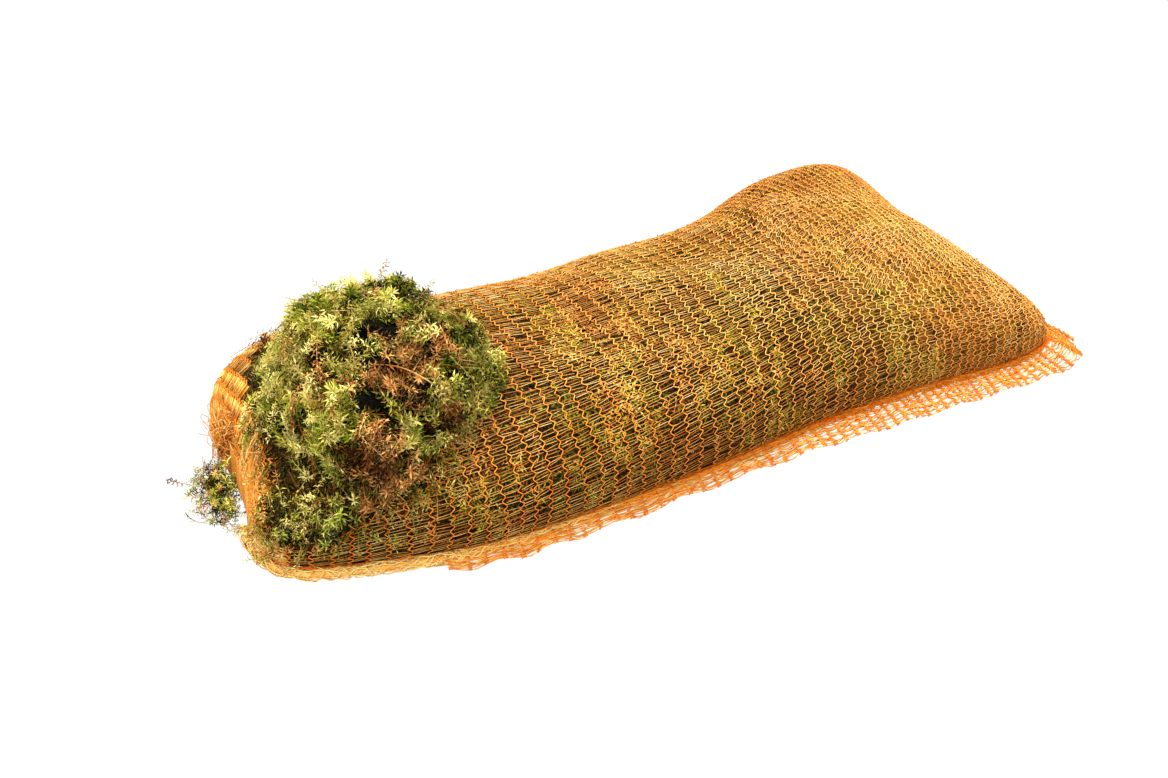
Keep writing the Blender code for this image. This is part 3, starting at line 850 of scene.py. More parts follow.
THIRDS = (0.0, 0.5, 1.0)
PILLAR_TONES = stops((0.0, 0.35, 0.70, 1.0), (
    (234, 100, 10), (244, 142, 40), (246, 178, 82), (250, 208, 126),
))
FILAMENT_TONES = stops(THIRDS, ((180, 108, 34), (222, 166, 80), (248, 214, 150)))
FRILL_TONES = stops(THIRDS, ((222, 104, 12), (236, 144, 42), (244, 210, 128)))
# The rope's orange is brighter than the frill's: painted light on the shaded seam and left end.
ROPE_PAINTED_LIGHT_TONES = stops(THIRDS, ((248, 108, 6), (255, 160, 36), (255, 226, 136)))
MATERIALS = {
    "clump": leaf_material("moss_leaf_fresh", FRESH_TONES, (200, 170, 104), 0.85),
    # The inner layer's leaves: a darker copy of the fresh ones, painted shade deep in the clump.
    "inner": leaf_material("moss_leaf_shaded", FRESH_TONES, (120, 104, 36), 0.2),
    "pressed": leaf_material("moss_leaf_pressed", PRESSED_TONES, (170, 126, 64), 0.3),
    "tuft": leaf_material("moss_leaf_grey", FRESH_TONES, (190, 172, 100), 0.55),
    # The mat's dark colours are partly old moss and partly painted shade between the pressed leaves.
    "bed": mat_material("moss_mat", (8, 4, 1), (70, 34, 8), (50, 46, 4), (170, 114, 34)),
    # The clump's heart is near-black all over: painted shade deep inside the clump.
    "core": mat_material("moss_core", (4, 3, 1), (20, 13, 5), (13, 16, 4), (20, 14, 6)),
    "pillar": thread_material("net_pillar_orange", PILLAR_TONES),
    "filament": thread_material("net_filament_amber", FILAMENT_TONES, 0.40, 1800.0),
    "frill": thread_material("net_frill_orange", FRILL_TONES),
    "rope": thread_material("net_rope_orange_painted_light", ROPE_PAINTED_LIGHT_TONES),
}


def wander(column, share):
    """How far a pillar strays, in gaps: slow waves round the girth that change along the sack."""
    column, share = np.broadcast_arrays(column, share)
    slow = np.sin(2 * math.pi * (2 * share + 0.13 * column))
    slow = slow + np.sin(2 * math.pi * (5 * share - 0.21 * column))
    return 0.10 * slow * ease(column / 4) * ease((len(PILLARS) - 1 - column) / 4)


def leaning(share):
    """How far left-hand corners stand from their stitch's middle, in stitches: the net's top is dragged."""
    share = np.mod(share, 1.0)
    return CORNER_LEAN * ease((share - 0.08) / 0.20) * ease((0.72 - share) / 0.15)


def stitched_pillars(columns, seed):
    """The net's pillars: zigzag chains round the girth, one per column.

    Each stitch has a corner to the right and, about half a stitch on, one to the left. A corner is a short
    level piece of thread between two points, so a pillar reads as a chain of half hexagons.
    """
    rng = np.random.default_rng(seed)
    stitches = STITCHES[columns][:, None]
    most = int(stitches.max())
    corner = np.array([-CORNER_SPREAD, CORNER_SPREAD, 0.5 - CORNER_SPREAD, 0.5 + CORNER_SPREAD])
    turns = (np.arange(most + 1)[:, None] + corner).reshape(1, -1)[:, : 4 * most + 1]
    turns = turns + FIRST_CORNER[columns][:, None] - 0.5
    side = np.tile([1.0, 1.0, -1.0, -1.0], most + 1)[: 4 * most + 1]
    turns = turns + leaning(turns / stitches) * (side < 0)
    share = turns / stitches
    uneven = 1.0 + 0.35 * (patches(net_frame(columns[:, None], share)[0], 0.02, 6) - 0.5)
    column = columns[:, None] + ZIGZAG[columns][:, None] * uneven * side + wander(columns[:, None], share)
    column = column + rng.normal(0.0, 0.015, column.shape)
    point, out, _, _ = net_frame(column, share)
    paths = point + out * (NET_LIFT + rng.normal(0.0, 0.00015, column.shape))[..., None]
    keep = clear_of_mouth(paths, THREADS_STOP_SHORT)
    keep &= share[:, 1:] <= 1.0 + 0.3 / stitches
    tone = pillar_tone(point, rng)
    return [tubes(paths, PILLAR_RADIUS, 3, tone, keep, np.array([1.0, 0.0, 0.0]))]


def pillar_tone(point, rng):
    """A pillar's tone: paler to the right in slow patches, with painted shade on the far ear and the low
    flank.
    """
    paler = 0.10 + 0.45 * ease((point[..., 0] + 0.20) / 0.30)
    paler = paler + 0.08 * rightness(point) * (1.0 - near_spots(point, FAR_EAR_SHADE))
    tone = np.clip(paler + 0.4 * patches(point, 0.04, 3) + rng.normal(0.0, 0.10, point.shape[:-1]), 0, 1)
    # Painted shade: the far ear and the low flank take deeper, darker orange tones.
    return np.clip(tone - FAR_EAR_DARKER * near_spots(point, FAR_EAR_SHADE) - 0.36 * low_flank_shade(point), 0, 1)


def thread_ends(columns, threads, rng):
    """Where the threads between neighbouring pillars start and end, as column and share of the girth.

    They start round a pillar's right-hand corners and end round the left-hand corners of the next that lie a
    little further round. The third result is a thread's number in its stitch, and the fourth whether it is
    drawn, since some are missing.
    """
    here, there = STITCHES[columns][:, None, None], STITCHES[columns + 1][:, None, None]
    number = np.arange(threads)
    spread = 0.9 * (number - (threads - 1) / 2) / threads
    stitch = np.arange(int(STITCHES.max()))[None, :, None]
    centre = stitch + FIRST_CORNER[columns][:, None, None] - 0.5
    first = FIRST_CORNER[columns + 1][:, None, None] + leaning(centre / here)
    corner = centre + rng.normal(0.0, 0.07, (len(columns), stitch.size, threads)) + spread
    far = np.round((centre + THREAD_CLIMB) / here * there - first) + first
    far = far + rng.normal(0.0, 0.09, corner.shape) + spread
    share = np.stack([corner / here, far / there], axis=-1)
    swing = np.stack([ZIGZAG[columns] * 0.85, 1.0 - ZIGZAG[columns + 1] * 0.85], axis=-1)
    column = columns[:, None, None, None] + swing[:, None, None, :]
    column = column + wander(column, share)
    drawn = (np.broadcast_to(stitch, corner.shape) < here).ravel() & (rng.random(corner.size) > 0.06)
    number = np.broadcast_to(number, corner.shape).ravel()
    return column.reshape(-1, 2), share.reshape(-1, 2), number, drawn


def threads_between(columns, threads, seed, lighter=0.0, radius=FILAMENT_RADIUS):
    """Thin threads between neighbouring pillars, only one to a stitch where the sack lies on the floor."""
    rng = np.random.default_rng(seed)
    column, share, number, drawn = thread_ends(columns, threads, rng)
    point, out, _, _ = net_frame(column, share)
    paths = point + out * (NET_LIFT + rng.uniform(-0.0005, 0.0002, share.shape))[..., None]
    drawn = drawn & clear_of_mouth(paths, THREADS_STOP_SHORT)[:, 0] & ((out[:, 0, 2] > -0.6) | (number == 0))
    paths = paths[drawn]
    end = paths[:, 1]
    tone = 0.40 + lighter + 0.6 * (patches(end, 0.03, 5) - 0.5) + rng.normal(0, 0.24, len(paths))
    # Painted shade: the threads are darker on the far ear and low on the flank.
    tone = tone - FAR_EAR_DARKER * near_spots(end, FAR_EAR_SHADE)
    tone = tone - 0.50 * low_flank_shade(end) + 0.20 * rightness(end)
    return tubes(paths, radius, 3, np.clip(tone, 0, 1))


def on_closed_end(side, across, over):
    """Points of the net closed over an end of the sack: side is -1 at the left end and 1 at the right.

    across runs from -1 to 1 over the end's width, over from -1 at the outermost pillar's top to 1 at its
    underside. The outer parts of over lie on the sack's skin, and the middle END_SHARE of it on the flat of
    the end, straight from the skin above to the skin below.
    """
    across, over = np.broadcast_arrays(across, over)
    outermost = PILLARS[-1] if side > 0 else PILLARS[0]
    power = RIGHT_SIDE_ROUNDNESS if side > 0 else SIDE_ROUNDNESS
    turn = np.arccos(np.sign(across) * np.abs(np.clip(across, -0.98, 0.98)) ** (power / 2))
    inward = np.clip((np.abs(over) - END_SHARE) / (1 - END_SHARE), 0, 1)
    along = side * TIP + (outermost - side * TIP) * inward
    top, out_top, _, _ = surface_frame(along, turn)
    low, out_low, _, _ = surface_frame(along, 2 * math.pi - turn)
    down_share = np.clip(0.5 + over / (2 * END_SHARE), 0, 1)[..., None]
    point = (top + out_top * NET_LIFT) * (1 - down_share) + (low + out_low * NET_LIFT) * down_share
    point[..., 0] += side * END_BULGE * (1 - inward)
    return point


def drawn_shut(side, strands, seed):
    """The net closed over one end of the sack: zigzag strands side by side, and thin threads across them."""
    rng = np.random.default_rng(seed)
    over = np.linspace(-1.0, 1.0, END_STITCHES)[None, :]
    place = np.linspace(-END_WIDTH, END_WIDTH, strands)[:, None]
    zigzag = np.tile(0.55 / strands * np.cos(math.pi * np.arange(END_STITCHES)), (strands, 1))
    down = on_closed_end(side, place + zigzag + rng.normal(0.0, 0.10 / strands, zigzag.shape), over)
    place = np.linspace(-END_WIDTH, END_WIDTH, 2 * strands)[None, :]
    level = np.linspace(-0.85, 0.85, END_LEVELS)[:, None]
    cross = on_closed_end(side, place, level + rng.normal(0.0, 0.02, (END_LEVELS, 2 * strands)))
    tone = random_tones(rng, 0.52, 0.14, (strands, 1))
    return [
        tubes(down, PILLAR_RADIUS, 3, tone, clear_of_mouth(down, THREADS_STOP_SHORT)),
        tubes(cross, FILAMENT_RADIUS, 3, np.full(END_LEVELS, 0.6), clear_of_mouth(cross, THREADS_STOP_SHORT)),
    ]


def mouth_rim(samples):
    """The tear's edge and the way out there: on each turn round its middle, the last place still inside."""
    turn = np.linspace(0.0, 2 * math.pi, samples)
    share = np.linspace(0.0, 1.0, 400)
    quarter = RIM_MIDDLE[0] + share[None, :] * RIM_REACH[0] * np.cos(turn)[:, None]
    around = RIM_MIDDLE[1] + share[None, :] * RIM_REACH[1] * np.sin(turn)[:, None]
    skin = sack_surface(np.sin(np.clip(quarter, -0.99, 0.99) * math.pi / 2), around)
    inside = in_mouth(skin, THREADS_STOP_SHORT)
    last = inside.shape[1] - 1 - np.argmax(inside[:, ::-1], axis=1)
    row = np.arange(samples)
    point, out, _, _ = surface_frame(np.sin(quarter[row, last] * math.pi / 2), around[row, last])
    return point, out


def rim_in_sight(point):
    """Which of the tear's rim points lie on its near side or to its right."""
    return np.flatnonzero((point[:, 0] > -0.235) | (point[:, 1] < -0.05))


def torn_edge():
    """The net's torn edge: broken thread ends that curl off it."""
    rng = np.random.default_rng(14)
    count = TORN_ENDS
    point, out = mouth_rim(count)
    ends = rng.choice(rim_in_sight(point), count)
    t = np.linspace(0.0, 1.0, 6)[None, :, None]
    way = unit(rng.normal(0.0, 1.0, (count, 3)) + out[ends] * 0.6)[:, None]
    turn = unit(rng.normal(0.0, 1.0, (count, 3)))[:, None]
    length = rng.uniform(0.002, 0.006, (count, 1, 1))
    paths = (point[ends] + out[ends] * NET_LIFT)[:, None] + length * (way * t + turn * 0.7 * t**2)
    return [tubes(paths, TORN_END_RADIUS, 3, random_tones(rng, 0.5, 0.2, count))]


def closed_rings(rings, sides, halves):
    """Triangles over rings of points, with one more point at each end for its cap.

    halves cuts each quad in two. It names a quad's corners 0 and 2 on one ring and 1 and 3 on the next.
    """
    number = np.arange(rings * sides).reshape(rings, sides)
    here, there = number[:-1], number[1:]
    corners = (here, there, np.roll(here, -1, axis=1), np.roll(there, -1, axis=1))
    quads = [np.stack([corners[k] for k in half], axis=-1).reshape(-1, 3) for half in halves]
    first, last = rings * sides, rings * sides + 1
    return np.concatenate([
        *quads,
        np.stack([np.full(sides, first), number[0], np.roll(number[0], -1)], axis=-1),
        np.stack([np.full(sides, last), np.roll(number[-1], -1), number[-1]], axis=-1),
    ])


def moss_bed():
    """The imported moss's mat: the sack's form sunk under the net, roughened, with the hollow by the clump."""
    rows, columns = 110, 130
    along = np.sin(np.linspace(-1.0, 1.0, rows) * math.asin(TIP))
    share = np.arange(columns) / columns
    point, out, _, _ = surface_frame(along[:, None], GIRTHS.around(along[:, None], share[None, :]))
    rough = patches(point, 0.009, 21) - 0.5 + 0.6 * (patches(point, 0.004, 22) - 0.5)
    by_seam = np.minimum(share, 1.0 - share) * 24.0
    depth = (BED_DEPTH + BED_ROUGHNESS * rough) * (0.10 + 0.90 * ease(by_seam))[None, :]
    point = sunk_by_hollow(point - out * depth[..., None])
    point[..., 2] = np.maximum(point[..., 2], BED_LOWEST_Z)
    tips = np.stack([point[0].mean(axis=0), point[-1].mean(axis=0)])
    vertices = np.concatenate([point.reshape(-1, 3), tips])
    triangles = closed_rings(rows, columns, ((0, 1, 2), (1, 3, 2)))
    # Painted shade: the mat stays dark in the tear, on the far ear and low on the flank; it is tan to the
    # right.
    tan_and_painted_light = (0.01 + 0.84 * rightness(vertices)) * np.where(in_mouth(vertices, 0.012), 0.0, 1.0)
    tan_and_painted_light = tan_and_painted_light * (1.0 - 0.8 * near_spots(vertices, FAR_EAR_SHADE)) * (1.0 - 0.5 * low_flank_shade(vertices))
    finish = np.stack([np.clip(tan_and_painted_light, 0.01, 0.99), np.linspace(0, 1, len(vertices))], axis=-1)
    return [(vertices, triangles, finish)]


def pressed_tone(point, rng):
    """The tone of the moss under the net: patches of olive, yellow green and brown, tanner to the right."""
    green = patches(point * np.array([1.0, 0.55, 1.0]), 0.034, 41)
    brown = patches(point * np.array([1.0, 0.45, 1.0]), 0.024, 42) + rng.normal(0.0, 0.15, point.shape[:-1])
    right = rightness(point)
    brown_share = 0.52 - 0.10 * right
    olive = 0.50 + 0.34 * green + 0.10 * right
    tan = 0.12 + 0.18 * green + 0.07 * right
    return np.where(brown > brown_share, tan, olive)


def spots_on_sack(count, rng):
    """Places spread evenly over the sack's skin, as along and share of the girth."""
    top = np.sin(np.linspace(-1.0, 1.0, 1501) * math.asin(TIP))
    line = sack_surface(top, math.pi / 2)
    steps = np.linalg.norm(np.diff(line, axis=0), axis=1)
    weight = np.concatenate([[0.0], np.cumsum(steps * GIRTHS.length(top[1:]))])
    along = np.interp(rng.random(count) * weight[-1], weight, top)
    return along, rng.random(count)


def pressed_stems(rng):
    """The lines that pressed shoots lie on: points of the sack's skin, ways out and ways along the line.

    They keep out of the tear's middle, and few lie underneath. A line mostly runs round the sack.
    """
    along, share = spots_on_sack(3 * PRESSED_SHOOTS, rng)
    point, out, _, _ = surface_frame(along, GIRTHS.around(along, share))
    under = (out[:, 2] < -0.5) & (rng.random(len(along)) > 0.08)
    wanted = ~in_mouth(point, -0.022) & ~under
    along, share = along[wanted][:PRESSED_SHOOTS], share[wanted][:PRESSED_SHOOTS]
    count = len(along)
    way = math.pi / 2 + rng.normal(0.0, math.radians(45), count) + math.pi * (rng.random(count) < 0.5)
    length = rng.uniform(0.010, 0.018, count)
    t = np.linspace(-0.5, 0.5, PRESSED_LEAVES)
    step = 0.002
    around = GIRTHS.around(along, share)
    run = sack_surface(along + step, around) - sack_surface(along - step, around)
    speed = np.linalg.norm(run, axis=-1) / (2 * step)
    share = share[:, None] - (np.sin(way) * length / GIRTHS.length(along))[:, None] * t
    along = along[:, None] + (np.cos(way) * length / np.maximum(speed, 0.05))[:, None] * t
    point, out, run, turn = surface_frame(along, GIRTHS.around(along, share))
    stem = unit(run * np.cos(way)[:, None, None] + turn * np.sin(way)[:, None, None])
    return point, out, stem


def pressed_moss():
    """Shoots pressed flat under the net: two rows of leaves on either side of a line laid on the sack's skin.

    Towards the right more leaf tips spring out between the threads, and the leaves are lighter, with less
    painted shade.
    """
    rng = np.random.default_rng(31)
    point, out, stem = pressed_stems(rng)
    count, each = point.shape[:2]
    right = rightness(point)
    hand = np.where(np.arange(each) % 2 == 0, 1.0, -1.0)[None, :, None]
    spread = rng.uniform(0.35, 1.15, (count, each))[..., None]
    springs_out = rng.random((count, each)) < 0.12 + 0.14 * right
    tilt = (rng.normal(0.03, 0.15, (count, each)) + 0.6 * springs_out)[..., None]
    ahead = unit(stem * np.cos(spread) + np.cross(out, stem) * hand * np.sin(spread) + out * tilt)
    depth = rng.uniform(0.0002, 0.0022, (count, 1)) + rng.uniform(-0.0002, 0.0004, (count, each))
    base = sunk_by_hollow(point) - out * depth[..., None]
    tone = np.where(in_mouth(point), 0.43, pressed_tone(base, rng))
    # A share of shoots is dimmed at random; painted shade darkens the far ear, the low flank and deeper
    # leaves.
    dim = np.where(rng.random((count, 1)) < 0.36 - 0.14 * right[:, :1], -0.22, 0.05)
    dim = dim + rng.normal(0.0, 0.07, (count, 1)) - 0.22 * near_spots(point, FAR_EAR_SHADE)
    dim = dim - 0.10 * low_flank_shade(point)
    deeper = (170 - 60 * right) * depth
    hue = shaded(tone, 0.07 + dim + 0.05 * right - deeper + rng.normal(0.0, 0.08, tone.shape))
    return [blades(
        base.reshape(-1, 3), ahead.reshape(-1, 3), -squared_off(out, ahead).reshape(-1, 3),
        rng.uniform(0.0028, 0.0052, hue.size), rng.uniform(0.0007, 0.0012, hue.size),
        rng.uniform(0.05, 0.5, hue.size), hue.ravel(), widest=0.42,
    )]


def lumps(direction, length):
    """Rounded lumps over a ball, -1 to 1: the mean of two products of sines along slanted directions."""
    p = direction / length
    first = np.sin(p[:, 0] * 1.3 + p[:, 1] * 0.7) * np.sin(p[:, 1] * 1.1 - p[:, 2] * 0.8)
    second = np.sin(p[:, 2] * 1.7 + p[:, 0] * 0.6) * np.sin(p[:, 0] * 0.9 - p[:, 1] * 1.5)
    return (first + second) / 2


def clump_form(direction):
    """The clump's outside: a stretched ball, squarer below, lumped, and drawn in on some of its sides."""
    radius = 1.0 + CLUMP_LUMP * lumps(direction, CLUMP_LUMP_LENGTH)
    for toward, amount in CLUMP_DRAWN_IN:
        side = np.array(toward) / np.linalg.norm(toward)
        radius = radius - amount * np.exp(-((direction - side) ** 2).sum(axis=1) / CLUMP_DRAWN_SPREAD)
    upper = ease((direction[:, 2] - CLUMP_SQUARE_TO) / (CLUMP_ROUND_FROM - CLUMP_SQUARE_TO))
    squareness = CLUMP_SQUARENESS + (2.0 - CLUMP_SQUARENESS) * upper
    full = (np.abs(direction) ** squareness[:, None]).sum(axis=1) ** (1.0 / squareness)
    rows = direction * np.array(CLUMP_HALF_SIZE) * (radius / full)[:, None]
    rows[:, 2] = np.where(rows[:, 2] < 0.0, rows[:, 2] * CLUMP_UNDER_SHARE, rows[:, 2])
    return np.array(CLUMP_CENTRE) + rows - MIDDLE


def tuft_form(direction):
    """The fallen tuft's outside."""
    radius = 1.0 + TUFT_LUMP * lumps(direction, TUFT_LUMP_LENGTH)
    return np.array(TUFT_CENTRE) + direction * np.array(TUFT_HALF_SIZE) * radius[:, None] - MIDDLE


def form_frame(form, direction):
    """A form's point in a direction from its middle, and the way out of it there."""
    first = unit(np.cross(direction, np.array([0.31, 0.42, 0.85])))
    second = np.cross(direction, first)
    point = form(direction)
    step = 0.02
    one_way = form(unit(direction + first * step)) - point
    other_way = form(unit(direction + second * step)) - point
    out = unit(np.cross(one_way, other_way))
    return point, out * np.sign(dotted(out, direction))


def spiral_directions(count, uneven, rng):
    """Directions spread evenly over a ball along a golden spiral, each moved a little by chance."""
    number = np.arange(count) + 0.5
    tilt = np.arccos(1 - 2 * number / count)
    turn = number * math.pi * (3 - math.sqrt(5))
    rows = np.stack([np.sin(tilt) * np.cos(turn), np.sin(tilt) * np.sin(turn), np.cos(tilt)], axis=-1)
    return unit(rows + rng.normal(0.0, uneven, rows.shape))


def tussocks(rng, seed, layer_depth, darker):
    """The tussocks of one layer of the clump: their places, ways out, sweeps, heights and tones.

    Tussocks in the dark hollows are sunk far and toned dark green as painted shade. The brown ones lie in the
    brown spots.
    """
    point, out = form_frame(clump_form, spiral_directions(TUSSOCKS, 0.07, rng))
    wanted = in_mouth(point, 0.004) | (point[:, 2] > 0.088)
    point, out = point[wanted], out[wanted]
    count = len(point)
    dark = near_spots(point, DARK_HOLLOWS)
    brown = near_spots(point, BROWN_MOSS) + rng.normal(0.0, 0.15, count)
    pale = near_spots(point, PALE_MOSS)
    tone = 0.66 + 0.24 * patches(point, 0.020, seed + 4) + rng.normal(0.0, 0.07, count) + 0.06 * pale
    tone = tone - 0.20 * ease((point[:, 0] + 0.200) / 0.04)
    tone = np.where(brown > 0.42, rng.uniform(0.16, 0.34, count), tone)
    # Painted shade: dark green in the dark hollows, and a whole layer's tones lowered by darker.
    tone = shaded(np.where(dark > 0.45, 0.54, tone), -darker)
    sweep = np.stack([patches(point, 0.030, seed + k) - 0.5 for k in (1, 2, 3)], axis=-1)
    sweep = unit(unit(sweep) + rng.normal(0.0, 0.5, sweep.shape) - np.array([0.0, 0.0, 0.25]))
    proud = rng.normal(0.0, 0.0036, count) - 0.009 * dark - 0.005 * near_spots(point, SUNK_MOSS)
    return point, out, squared_off(sweep, out), proud - layer_depth, tone


def clump_shoots(seed, layer_depth, darker, kind):
    """One layer of the clump's shoots, in tussocks that lean one way each and have a tone of their own.

    A shoot sets out from under the form at a slant, arches through it and comes back down towards it at its
    tip. Its tip stays near the layer's depth, a little proud or sunk with its tussock. Some stand upright,
    and a few are straw.
    """
    rng = np.random.default_rng(seed)
    point, out, sweep, proud, tone = tussocks(rng, seed, layer_depth, darker)
    home = np.repeat(np.arange(len(point)), SHOOTS_IN_TUSSOCK)
    count = len(home)
    point, out, sweep, proud, tone = point[home], out[home], sweep[home], proud[home], tone[home]
    tangent = squared_off(rng.normal(0.0, 1.0, (count, 3)), out)
    flat = unit(sweep + tangent * 0.55)
    upright = rng.random((count, 1)) < 0.55
    rise = np.where(upright, rng.uniform(1.2, 3.0, (count, 1)), rng.uniform(0.4, 0.9, (count, 1)))
    start = unit(flat + out * rise)
    droop = np.where(upright, rng.uniform(-0.10, 0.25, (count, 1)), rng.uniform(0.25, 0.55, (count, 1)))
    bend = -out * droop + flat * 0.30 + rng.normal(0.0, 0.12, (count, 3))
    length = rng.uniform(0.016, 0.028, count)
    top = point + tangent * rng.uniform(0.002, 0.010, (count, 1))
    top = top + out * (proud - 0.0015 + rng.normal(0.0, 0.0016, count))[:, None]
    peak = np.where(upright, 1.0, 0.75)
    base = top - (start * peak + bend * peak**2) * length[:, None]
    tone = shaded(tone, rng.normal(0.05, 0.12, count))
    straw = rng.random(count) < 0.10
    tone = np.where(straw, rng.uniform(0.28, 0.35, count), tone)
    return shoots(base, start, bend, length, tone, rng, kind)


def even_ball(rings, sides):
    """Directions over a ball on rings from pole to pole, with the triangles between them."""
    tilt = np.linspace(0.0, math.pi, rings)[1:-1]
    turn = np.arange(sides) * 2 * math.pi / sides
    body = np.stack([
        np.sin(tilt)[:, None] * np.cos(turn), np.sin(tilt)[:, None] * np.sin(turn),
        np.broadcast_to(np.cos(tilt)[:, None], (len(tilt), sides)),
    ], axis=-1)
    vertices = np.concatenate([body.reshape(-1, 3), [[0.0, 0.0, 1.0], [0.0, 0.0, -1.0]]])
    return vertices, closed_rings(len(tilt), sides, ((0, 1, 3), (0, 3, 2)))


def clump_core():
    """The clump's heart: its form shrunk and roughened, near-black as painted shade deep inside the clump."""
    directions, triangles = even_ball(40, 80)
    rough = CORE_SHARE + CORE_ROUGHNESS * (patches(directions, 0.10, 61) - 0.5)
    point = clump_form(directions)
    middle = np.array(CLUMP_CENTRE) - MIDDLE
    vertices = middle + (point - middle) * (rough - 0.16 * near_spots(point, DARK_HOLLOWS))[:, None]
    vertices[:, 2] = np.maximum(vertices[:, 2], CORE_LOWEST_Z)
    finish = np.stack([np.full(len(vertices), 0.05), np.linspace(0, 1, len(vertices))], axis=-1)
    return [(vertices, triangles, finish)]


def spilled_shoots():
    """Shoots that have slid from the clump over the net's torn edge and lie on the net round it."""
    rng = np.random.default_rng(65)
    count = SPILLED_SHOOTS
    point, out = mouth_rim(400)
    number = rng.choice(rim_in_sight(point), count)
    middle = np.array([*MOUTH_CENTRE, 0.085]) - MIDDLE
    away = unit((point - middle) * np.array([1.0, 1.0, 0.6]))[number]
    out = out[number]
    away = squared_off(away, out)
    side = np.cross(out, away)
    swing = rng.normal(0.0, 0.6, (count, 1))
    start = unit(away * np.cos(swing) + side * np.sin(swing) + out * rng.uniform(0.05, 0.45, (count, 1)))
    bend = away * 0.2 + side * rng.normal(0.0, 0.3, (count, 1)) - out * 0.25
    length = rng.uniform(0.010, 0.022, count)
    base = point[number] + out * 0.0015 - away * rng.uniform(-0.004, 0.012, (count, 1))
    tone = green_or_brown(rng, count, 0.25, (0.20, 0.34), (0.58, 0.86))
    return shoots(base, start, bend, length, tone, rng, "spilled")


def rim_shoots():
    """Pale dry shoots that lie on the net over the sack's near left corner."""
    rng = np.random.default_rng(69)
    count = RIM_SHOOTS
    along = rng.uniform(-0.985, -0.87, count)
    around = np.radians(rng.uniform(150.0, 180.0, count))
    point, out, run, turn = surface_frame(along, around)
    way = rng.uniform(0, 2 * math.pi, (count, 1))
    flat = run * np.cos(way) + turn * np.sin(way)
    start = unit(flat + out * rng.uniform(0.0, 0.35, (count, 1)))
    bend = rng.normal(0.0, 0.3, (count, 3)) - out * 0.15
    tone = green_or_brown(rng, count, 0.14, (0.28, 0.35), (0.80, 0.93))
    length = rng.uniform(0.006, 0.014, count)
    base = point + out * 0.0014
    return shoots(base, start, bend, length, tone, rng, "rim")


def hollow_shoots():
    """Shoots that stand in the hollow beside the clump, toned dark green as painted shade in the hollow."""
    rng = np.random.default_rng(66)
    count = HOLLOW_SHOOTS
    turn = rng.uniform(0, 2 * math.pi, count)
    reach = HOLLOW_SHOOTS_REACH * np.sqrt(rng.random((count, 1)))
    offset = reach * np.stack([np.cos(turn), np.sin(turn) * 0.8], axis=-1)
    flat = np.array(HOLLOW_SHOOTS_CENTRE) + offset - MIDDLE[:2]
    base = np.concatenate([flat, rng.uniform(0.030, 0.044, (count, 1))], axis=1)
    start = unit(rng.normal(0.0, 0.5, (count, 3)) + np.array([-0.2, -0.3, 0.9]))
    bend = rng.normal(0.0, 0.28, (count, 3))
    length = rng.uniform(0.012, 0.020, count)
    # Painted shade: dark green tones in the hollow.
    tone = rng.uniform(0.46, 0.58, count)
    return shoots(base, start, bend, length, tone, rng, "hollow")


# The sprigs on the clump's top: each one's place, the way it sets out, its bend, its length and its tone.
SPRIGS = (
    ((-0.214, -0.052, 0.122), (-0.5, 0.3, 1.0), (-0.45, 0.1, -0.25), 0.029, 0.80),
    ((-0.206, -0.044, 0.124), (-0.2, 0.4, 1.0), (-0.3, 0.2, -0.1), 0.020, 0.74),
    ((-0.186, -0.046, 0.122), (0.3, 0.2, 1.0), (0.25, -0.1, 0.0), 0.020, 0.56),
    ((-0.178, -0.044, 0.122), (0.1, 0.5, 0.9), (0.4, 0.1, -0.2), 0.026, 0.58),
    ((-0.182, -0.052, 0.124), (0.5, 0.3, 0.8), (0.4, -0.2, -0.3), 0.024, 0.60),
    ((-0.160, -0.050, 0.114), (0.6, 0.2, 0.8), (0.3, 0.1, -0.2), 0.020, 0.66),
    ((-0.150, -0.056, 0.110), (0.8, 0.0, 0.7), (0.4, 0.0, -0.3), 0.022, 0.72),
    ((-0.232, -0.046, 0.108), (-0.6, 0.3, 0.8), (-0.3, 0.0, -0.3), 0.018, 0.80),
)
BARE_STEM_FROM = (-0.214, -0.112, 0.122)
BARE_STEM_TO = (-0.188, -0.136, 0.114)
BARE_STEM_ARCH = 0.004


def sprigs():
    """Single shoots that stand up out of the clump's top, and a brown stem that arches across it."""
    place, start, bend, length, tone = (np.array(column) for column in zip(*SPRIGS))
    base = place - MIDDLE
    rng = np.random.default_rng(67)
    parts = shoots(base, unit(start), bend, length, tone, rng, "sprig")
    t = np.linspace(0.0, 1.0, 14)[:, None]
    first, last = np.array(BARE_STEM_FROM) - MIDDLE, np.array(BARE_STEM_TO) - MIDDLE
    stem = first * (1 - t) + last * t + np.array([0.0, 0.0, BARE_STEM_ARCH]) * np.sin(math.pi * t)
    return parts + [tubes(stem[None], BARE_STEM_RADIUS, 5, np.full(1, 0.23))]


def tuft_shoots():
    """The fallen tuft: fine airy shoots that point every way out of a small ball."""
    rng = np.random.default_rng(71)
    count = TUFT_SHOOTS
    point, out = form_frame(tuft_form, spiral_directions(count, 0.14, rng))
    start = unit(out + rng.normal(0.0, 0.7, out.shape))
    bend = rng.normal(0.0, 0.35, out.shape)
    length = rng.uniform(0.010, 0.018, count)
    depth = dotted(start + bend, out)[:, 0] * length + rng.uniform(-0.001, 0.004, count)
    base = point - out * depth[:, None]
    base[:, 2] = np.maximum(base[:, 2], 0.004)
    tone = green_or_brown(rng, count, 0.22, (0.20, 0.30), (0.54, 0.84))
    return shoots(base, start, bend, length, tone, rng, "tuft")


def seam_radius(share):
    """Half the thickness of the rolled seam: a fat roll at the left end that thins to a stitched line."""
    return SEAM_RADIUS + (ROLL_RADIUS - SEAM_RADIUS) * (1.0 - ease((share - ROLL_FULL_TO) / ROLL_THINS_OVER))


